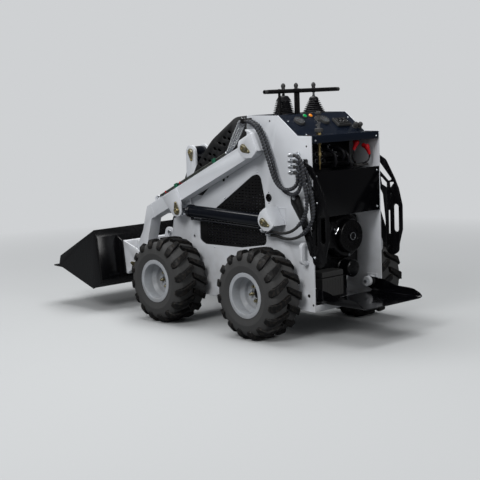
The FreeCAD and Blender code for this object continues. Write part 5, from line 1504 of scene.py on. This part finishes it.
@dataclass
class Compartment:
    """What shows between the ledge and the rear panel: valve block, hose ends, battery boots and cables."""

    def build(self) -> None:
        """Makes the valve and its surroundings."""
        shape = Shape("valve_block")
        for index in range(3):
            shape.take(box(100, 46, 80, 4), Coat.ENGINE, Matrix.Translation((-485, 85 + 50 * index, 920)))
            for row in range(2):
                at = (-540, 85 + 42 * index, 900 + 36 * row)
                shape.take(turned([(0, 0), (0, 13), (9, 13), (10, 12), (10, 0)], 6), Coat.ZINC,
                           facing(at, (-1, 0, 0)))
                shape.take(turned([(9, 0), (9, 9.5), (24, 9.5), (25, 8.5), (25, 0)], 18), Coat.BLACK,
                           facing(at, (-1, 0, 0)))
        shape.finish("hydraulic_valve", slot="zinc")
        ports = Shape("valve_pipes")
        for y, z, drop in ((-75, 945, 60), (-40, 962, 52), (-97, 900, 40), (23, 950, 70)):
            ports.pipe(((-434, y, z), (-500, y, z), (-545, y - 6, z - 4), (-566, y - 14, z - 22),
                        (-566, y - 22, z - drop), (-540, y - 26, z - drop - 18), (-434, y - 28, z - drop - 20)),
                       9.0, Coat.BOOT, 14)
            ports.take(turned([(0, 0), (0, 12), (2, 13.5), (12, 13.5), (13, 12), (13, 0)], 6), Coat.ZINC,
                       facing((-470, y, z), (-1, 0, 0)))
        for y, z in ((-130, 952), (-137, 930), (-132, 908), (-157, 950), (60, 975)):
            ports.bolt((-434, y, z), (-1, 0, 0), 8, Coat.ZINC)
        ports.take(turned([(0, 0), (0, 16), (20, 16), (24, 12), (36, 12), (38, 10), (38, 0)], 24), Coat.ZINC,
                   facing((-434, 8, 930), (-1, 0, 0)))
        for x, y, z, way in ((-590, -205, 968, (-0.25, -0.25, -1)), (-560, -172, 990, (0.1, 0.5, -1))):
            boot = facing((x, y, z), way, 0)
            ports.take(turned([(0, 0), (0, 9), (4, 13), (12, 15), (22, 14), (30, 10), (48, 8.5), (56, 7), (57, 0)], 24),
                       Coat.RED, boot)
            ports.take(turned([(0, 0), (0, 11), (14, 12), (20, 9), (21, 0)], 20), Coat.RED,
                       facing((x + 4, y, z - 12), (0.7, 0.1, 0.4)))
            end = Vector((x, y, z)) + Vector(way).normalized() * 56
            ports.pipe((tuple(end), (end.x, end.y, end.z - 18), (end.x + 8, end.y + 10, end.z - 40),
                        (end.x + 30, -196, 866)), 4.5, Coat.BOOT)
        ports.take(box(40, 90, 12, 3), Coat.PLASTIC, Matrix.Translation((-556, -196, 862)))
        ports.take(box(120, 96, 8, 2), Coat.BLACK, Matrix.Translation((-496, -196, 860)))
        ports.finish(slot="black_plastic")


@dataclass
class Engine:
    """The recoil starter, shroud, cylinder and pump end that show behind the hull."""

    centre: tuple[float, float] = (-77.0, 495.0)
    back: float = -500.0

    def build(self) -> None:
        """Makes starter, shroud and the small parts round them."""
        y, z = self.centre
        shape = Shape("recoil_starter")
        rear = facing((self.back, y, z), (-1, 0, 0))
        shape.take(turned([(0, 0), (0, 120), (38, 120), (50, 117), (57, 110), (60, 100), (60, 0)], 64),
                   Coat.ENGINE, rear)
        shape.take(turned([(58, 0), (58, 90), (84, 90), (92, 86), (96, 80), (96, 46), (93, 44), (93, 26),
                           (96, 25), (98, 24), (102, 22), (102, 0)], 64), Coat.ENGINE, rear)
        for k in range(24):
            a = math.tau * k / 24
            fin = rear @ Matrix.Rotation(a, 4, "Z") @ Matrix.Translation((62.5, 0, 96.6))
            shape.take(box(31, 5.2, 4.5, 1.2, 1), Coat.ENGINE, fin)
        # Painted shade: thin near-black strips between the fins stand for the dark inside of the starter's vent slots.
        for k in range(24):
            a = math.tau * (k + 0.5) / 24
            painted_vent_shade = rear @ Matrix.Rotation(a, 4, "Z") @ Matrix.Translation((62.5, 0, 96.15))
            shape.take(box(29, 6.0, 0.5, 0.0), Coat.SHADOW, painted_vent_shade)
        for k in range(3):
            a = math.tau * k / 3 + 0.4
            shape.bolt((self.back - 60, y + 104 * math.cos(a), z + 104 * math.sin(a)), (-1, 0, 0), 6)
        shape.take(turned([(102, 17), (103.2, 17.6), (103.2, 20.4), (102, 21), (102, 17)], 40), Coat.ZINC, rear)
        shape.take(box(58, 100, 146, 12), Coat.ENGINE,
                   Matrix.Translation((self.back - 30, y + 88, z + 12)))
        pull = Matrix.Translation((self.back - 76, y + 96, z + 34)) @ Matrix.Rotation(0.7, 4, "X")
        shape.take(turned([(-22, 0), (-22, 7), (-18, 8.5), (-4, 7), (4, 7), (18, 8.5), (22, 7), (22, 0)], 18),
                   Coat.CHROME, pull)
        shape.finish("fan_housing", slot="engine_black")
        block = Shape("engine_casting")
        block.take(box(330, 300, 320, 10), Coat.ENGINE, Matrix.Translation((self.back + 165, y, 431)))
        block.take(box(270, 180, 120, 6), Coat.ENGINE, Matrix.Translation((self.back + 165, y, 211)))
        for k in range(9):
            block.take(box(150, 298, 3.5, 1, 1), Coat.ENGINE,
                       Matrix.Translation((self.back + 110, y, 340 + 26 * k)))
        block.finish("engine_block", slot="engine_black")
        pump = Shape("pump_casting")
        end = facing((self.back, -100, 320), (-1, 0, 0))
        pump.take(turned([(0, 0), (0, 48), (10, 48), (12, 46), (14, 42), (60, 42), (66, 47), (76, 47), (80, 44),
                          (85, 36), (85, 0)], 40), Coat.ENGINE, end)
        for k in range(4):
            a = math.tau * k / 4 + 0.7
            pump.bolt((self.back - 78, -100 + 36 * math.cos(a), 320 + 36 * math.sin(a)), (-1, 0, 0), 6)
        pump.finish("pump_end", slot="engine_black")
        case = Shape("battery_case")
        case.take(box(84, 160, 100, 4), Coat.PLASTIC, Matrix.Translation((self.back - 48, 70, 246)))
        case.take(box(84, 160, 30, 5), Coat.PLASTIC, Matrix.Translation((self.back - 48, 70, 314)))
        case.take(box(64, 120, 45, 2), Coat.BLACK, Matrix.Translation((self.back - 48, 70, 173.5)))
        for k in range(7):
            case.take(box(2.4, 8, 80, 1, 1), Coat.PLASTIC,
                      Matrix.Translation((self.back - 90.2, 10 + 20 * k, 246)))
        case.finish("battery_box", slot="black_plastic")


@dataclass
class HingeBosses:
    """The white square blocks and discs that the foot platform turns on."""

    def build(self) -> None:
        """Makes both bosses."""
        shape = Shape("platform_bosses")
        for sign in (1, -1):
            x, z = -577, 236
            shape.take(plate([(-36, -46, 5), (36, -46, 5), (36, 38, 5), (-36, 38, 5)], 8, edge=1.5), Coat.WHITE,
                       Matrix.Translation((x, 0, z)) @ across("Y", 244 if sign > 0 else -252))
            shape.take(turned([(0, 0), (0, 30), (22, 30), (24, 28), (24, 0)], 40), Coat.WHITE,
                       facing((x, 252 * sign, z), (0, -sign, 0)))
            shape.take(turned([(0, 0), (0, 10), (10, 10), (10, 0)], 20), Coat.ZINC,
                       facing((x, 229 * sign, z), (0, -sign, 0)))
            shape.take(turned([(0, 0), (0, 25.6), (1.4, 27), (20, 27), (21.4, 25.6), (21.4, 0)], 40),
                       Coat.WHITE, facing((x, 221.4 * sign, z), (0, -sign, 0)))
            shape.bolt((x, 200 * sign, z), (0, -sign, 0), 11)
            for u, v in ((-27, 29), (27, 29), (-27, -37), (27, -37)):
                shape.bolt((x + u, 244 * sign, z + v), (0, -sign, 0), 5, dome=True, washer=False)
        shape.finish("platform_hinges", slot="black_paint")


@dataclass
class Platform:
    """The foot platform: one glossy sheet whose sides sweep up from the tread."""

    half: float = 222.0
    thick: float = 5.0

    def build(self) -> None:
        """Makes the swept sheet with its two eyes."""
        shape = Shape("foot_plate", "platform")
        rows = ((-935, 194, 190), (-930, 202, 190), (-920, 209, 190), (-900, 218, 190), (-880, 226, 190),
                (-850, 230, 190), (-800, 231, 190), (-765, 232, 190), (-740, 238, 190), (-711, 248, 190),
                (-680, 255, 190), (-650, 258, 190), (-606, 258, 190))
        sheet = bmesh.new()
        rings = []
        for x, rise, low in rows:
            section = []
            for side in (1, -1):
                arc = []
                for k in range(7):
                    t = k / 6
                    bend = 26.0
                    wall = max(rise - low - bend, 2.0)
                    if t < 0.75:
                        a = math.pi / 2 * t / 0.75
                        arc.append((self.half + 2.5 - bend + bend * math.sin(a), low + bend - bend * math.cos(a)
                                    if rise - low > bend else low + (rise - low) * (1 - math.cos(a))))
                    else:
                        arc.append((self.half + 2.5, low + min(bend, rise - low) + wall * (t - 0.75) / 0.25
                                    if rise - low > bend else rise))
                section.append([(side * y, z) for y, z in arc])
            flat = section[1][::-1] + section[0]
            rings.append([sheet.verts.new((x, y, z - 2.5)) for y, z in flat])
        for first, second in zip(rings, rings[1:]):
            for k in range(len(first) - 1):
                sheet.faces.new((first[k], first[k + 1], second[k + 1], second[k]))
        bmesh.ops.recalc_face_normals(sheet, faces=sheet.faces)
        bmesh.ops.solidify(sheet, geom=sheet.faces[:], thickness=self.thick)
        shape.take(sheet, Coat.GLOSS)
        for sign in (1, -1):
            wing = plate([(-620, 196, 6), (-600, 192, 6), (-553, 212, 22), (-553, 260, 22), (-600, 260, 10),
                          (-640, 259, 10), (-640, 225, 20)], self.thick, (circle(-577, 236, 10.3),), 1.0)
            shape.take(wing, Coat.GLOSS, across("Y", self.half if sign > 0 else -self.half - self.thick))
        shape.finish("foot_platform", slot="black_paint", sharp=55.0)


@dataclass
class BucketTrim:
    """The bucket's worn cutting edge, its bolts and the weld lines of its back."""

    curl: float = 17.5

    def at(self, x: float, z: float) -> tuple[float, float]:
        """Gives the place of a point drawn with the bucket level."""
        a = math.radians(self.curl)
        return 700 + x * math.cos(a) - z * math.sin(a), 270 + x * math.sin(a) + z * math.cos(a)

    def build(self) -> None:
        """Makes the edge, the bolts and the welds on the tool."""
        shape = Shape("bucket_edge", "tool")
        corners = [(512, -197), (597, -221), (598, -229), (513, -205)]
        bar = plate([self.at(*c) for c in corners], 996, edge=0.6)
        shape.take(bar, Coat.WORN, Matrix.Translation((0, 0, 0)) @ across("Y", -498))
        for y in range(-420, 421, 120):
            x, z = self.at(545, -205.4)
            way = (math.cos(math.radians(self.curl + 74)), 0, math.sin(math.radians(self.curl + 74)))
            shape.bolt((x, y, z), way, 9, Coat.WORN, dome=True, washer=False)
        for sign in (1, -1):
            for start, end in (((114, -136), (224, 106)), ((186, -204), (546, -204)), ((114, -140), (184, -204))):
                a, b = self.at(*start), self.at(*end)
                seam = evenly([Vector((a[0], 497.6 * sign, a[1])), Vector((b[0], 497.6 * sign, b[1]))], 6)
                shape.take(swept(seam, 6, lambda along, angle: 2.2), Coat.BLACK)
        shape.finish(slot="black_paint")


@dataclass
class Welds:
    """Weld beads where the white boxes and lugs are joined."""

    def bead(self, shape: Shape, start: Point, end: Point, radius: float = 2.6) -> None:
        """Adds one rippled bead between two places."""
        points = evenly([Vector(start), Vector(end)], 2.2)
        shape.take(swept(points, 6, lambda along, angle: radius * (0.86 + 0.14 * math.sin(along * 1.3))),
                   Coat.WHITE)

    def build(self) -> None:
        """Makes the beads on hull and boom."""
        hull = Shape("hull_welds")
        for sign in (1, -1):
            y = 258.6 * sign
            for loop in ([(-338, 1018), (-338, 925), (-302, 925)], [(-380, 664), (-445, 664), (-445, 552)]):
                for a, b in zip(loop, loop[1:]):
                    self.bead(hull, (a[0], y, a[1]), (b[0], y, b[1]))
        hull.finish(slot="pale_paint", sharp=60.0)
        boom = Shape("boom_welds", "boom")
        for sign in (1, -1):
            a, b = along_arm(40, 2), along_arm(40, 84)
            self.bead(boom, (a[0], 336.4 * sign, a[1]), (b[0], 336.4 * sign, b[1]), 1.8)
            a, b = along_arm(13, 9), along_arm(81, 9)
            self.bead(boom, (a[0], 262 * sign, a[1]), (b[0], 262 * sign, b[1]))
        boom.finish(slot="pale_paint", sharp=60.0)


@dataclass
class Cylinders:
    """The gland nuts, wiper rings and weld rings of the cylinders."""

    def build(self) -> None:
        """Makes the small parts of each barrel and rod."""
        for side, sign in (("left", 1), ("right", -1)):
            self.fit(f"lift_{side}", f"lift_barrel_{side}", (-370, 300 * sign, 597), (322, 300 * sign, 614), 33, 640, 18)
        self.fit("tilt", "tilt_barrel", (532, 0, 915), (772, 0, 425), 31, 470, 16)

    def fit(self, name: str, body: str, base: Point, tip: Point, radius: float, end: float, rod: float) -> None:
        """Adds the gland nut, wiper and weld ring of one cylinder, with thin discs of painted shade for the nut's
        holes.

        Args:
            name: the cylinder.
            body: the body that its barrel is.
            base: the barrel's pin.
            tip: the rod's pin.
            radius: the barrel's outer radius.
            end: the barrel's end, from the base pin.
            rod: the rod's radius.
        """
        shape = Shape(name + "_gland", body)
        way = Vector(tip) - Vector(base)
        place = facing(base, way)
        shape.take(turned([(end - 27, radius), (end - 27, radius + 3.2), (end - 25, radius + 4), (end - 3, radius + 4),
                           (end, radius + 2), (end, rod + 4), (end + 4, rod + 3.4), (end + 5, rod + 0.6),
                           (end - 2, rod + 0.6)], 40), Coat.BARREL, place)
        # Painted shade: thin near-black discs round the gland nut stand for its spanner holes.
        for k in range(6):
            a = math.tau * k / 6
            seat = place @ Matrix.Translation(((radius + 3.7) * math.cos(a), (radius + 3.7) * math.sin(a), end - 13))
            shape.take(turned([(0, 0), (0, 3.2), (0.7, 3.2), (0.7, 0)], 12), Coat.SHADOW,
                       seat @ Matrix.Rotation(a, 4, "Z") @ Matrix.Rotation(math.pi / 2, 4, "Y"))
        shape.take(turned([(44, radius), (44, radius + 2.0), (47, radius + 2.8), (50, radius + 2.0), (50, radius)], 40),
                   Coat.BARREL, place)
        shape.finish(slot="cylinder_black", sharp=40.0)


def main() -> None:
    """Builds the machine's pieces in order and reports each."""
    logging.basicConfig(level=logging.INFO, format="%(name)s: %(message)s")
    bpy.context.scene.view_settings.view_transform = "Standard"
    Camera().build()
    for hose in HOSES:
        hose.build()
    Studio().build()
    for end in ("front", "rear"):
        for side, sign in (("left", 1), ("right", -1)):
            name = f"wheel_{end}_{side}"
            axle = joint_place(name)
            middle = (axle.x / MM - SHIFT_X, axle.y / MM, axle.z / MM)
            Tyre().build(f"tyre_{end}_{side}", middle)
            WheelTrim().build(name, middle, sign)
    HoseFittings().build()
    ArmPipes().build()
    PinPlates().build()
    BoltRows().build()
    Bellows().build()
    Levers().build()
    HandleBar().build()
    Instruments().build()
    Compartment().build()
    Engine().build()
    HingeBosses().build()
    Platform().build()
    BucketTrim().build()
    Welds().build()
    Cylinders().build()
    FrameDresser().build()


if __name__ == "__main__":
    main()
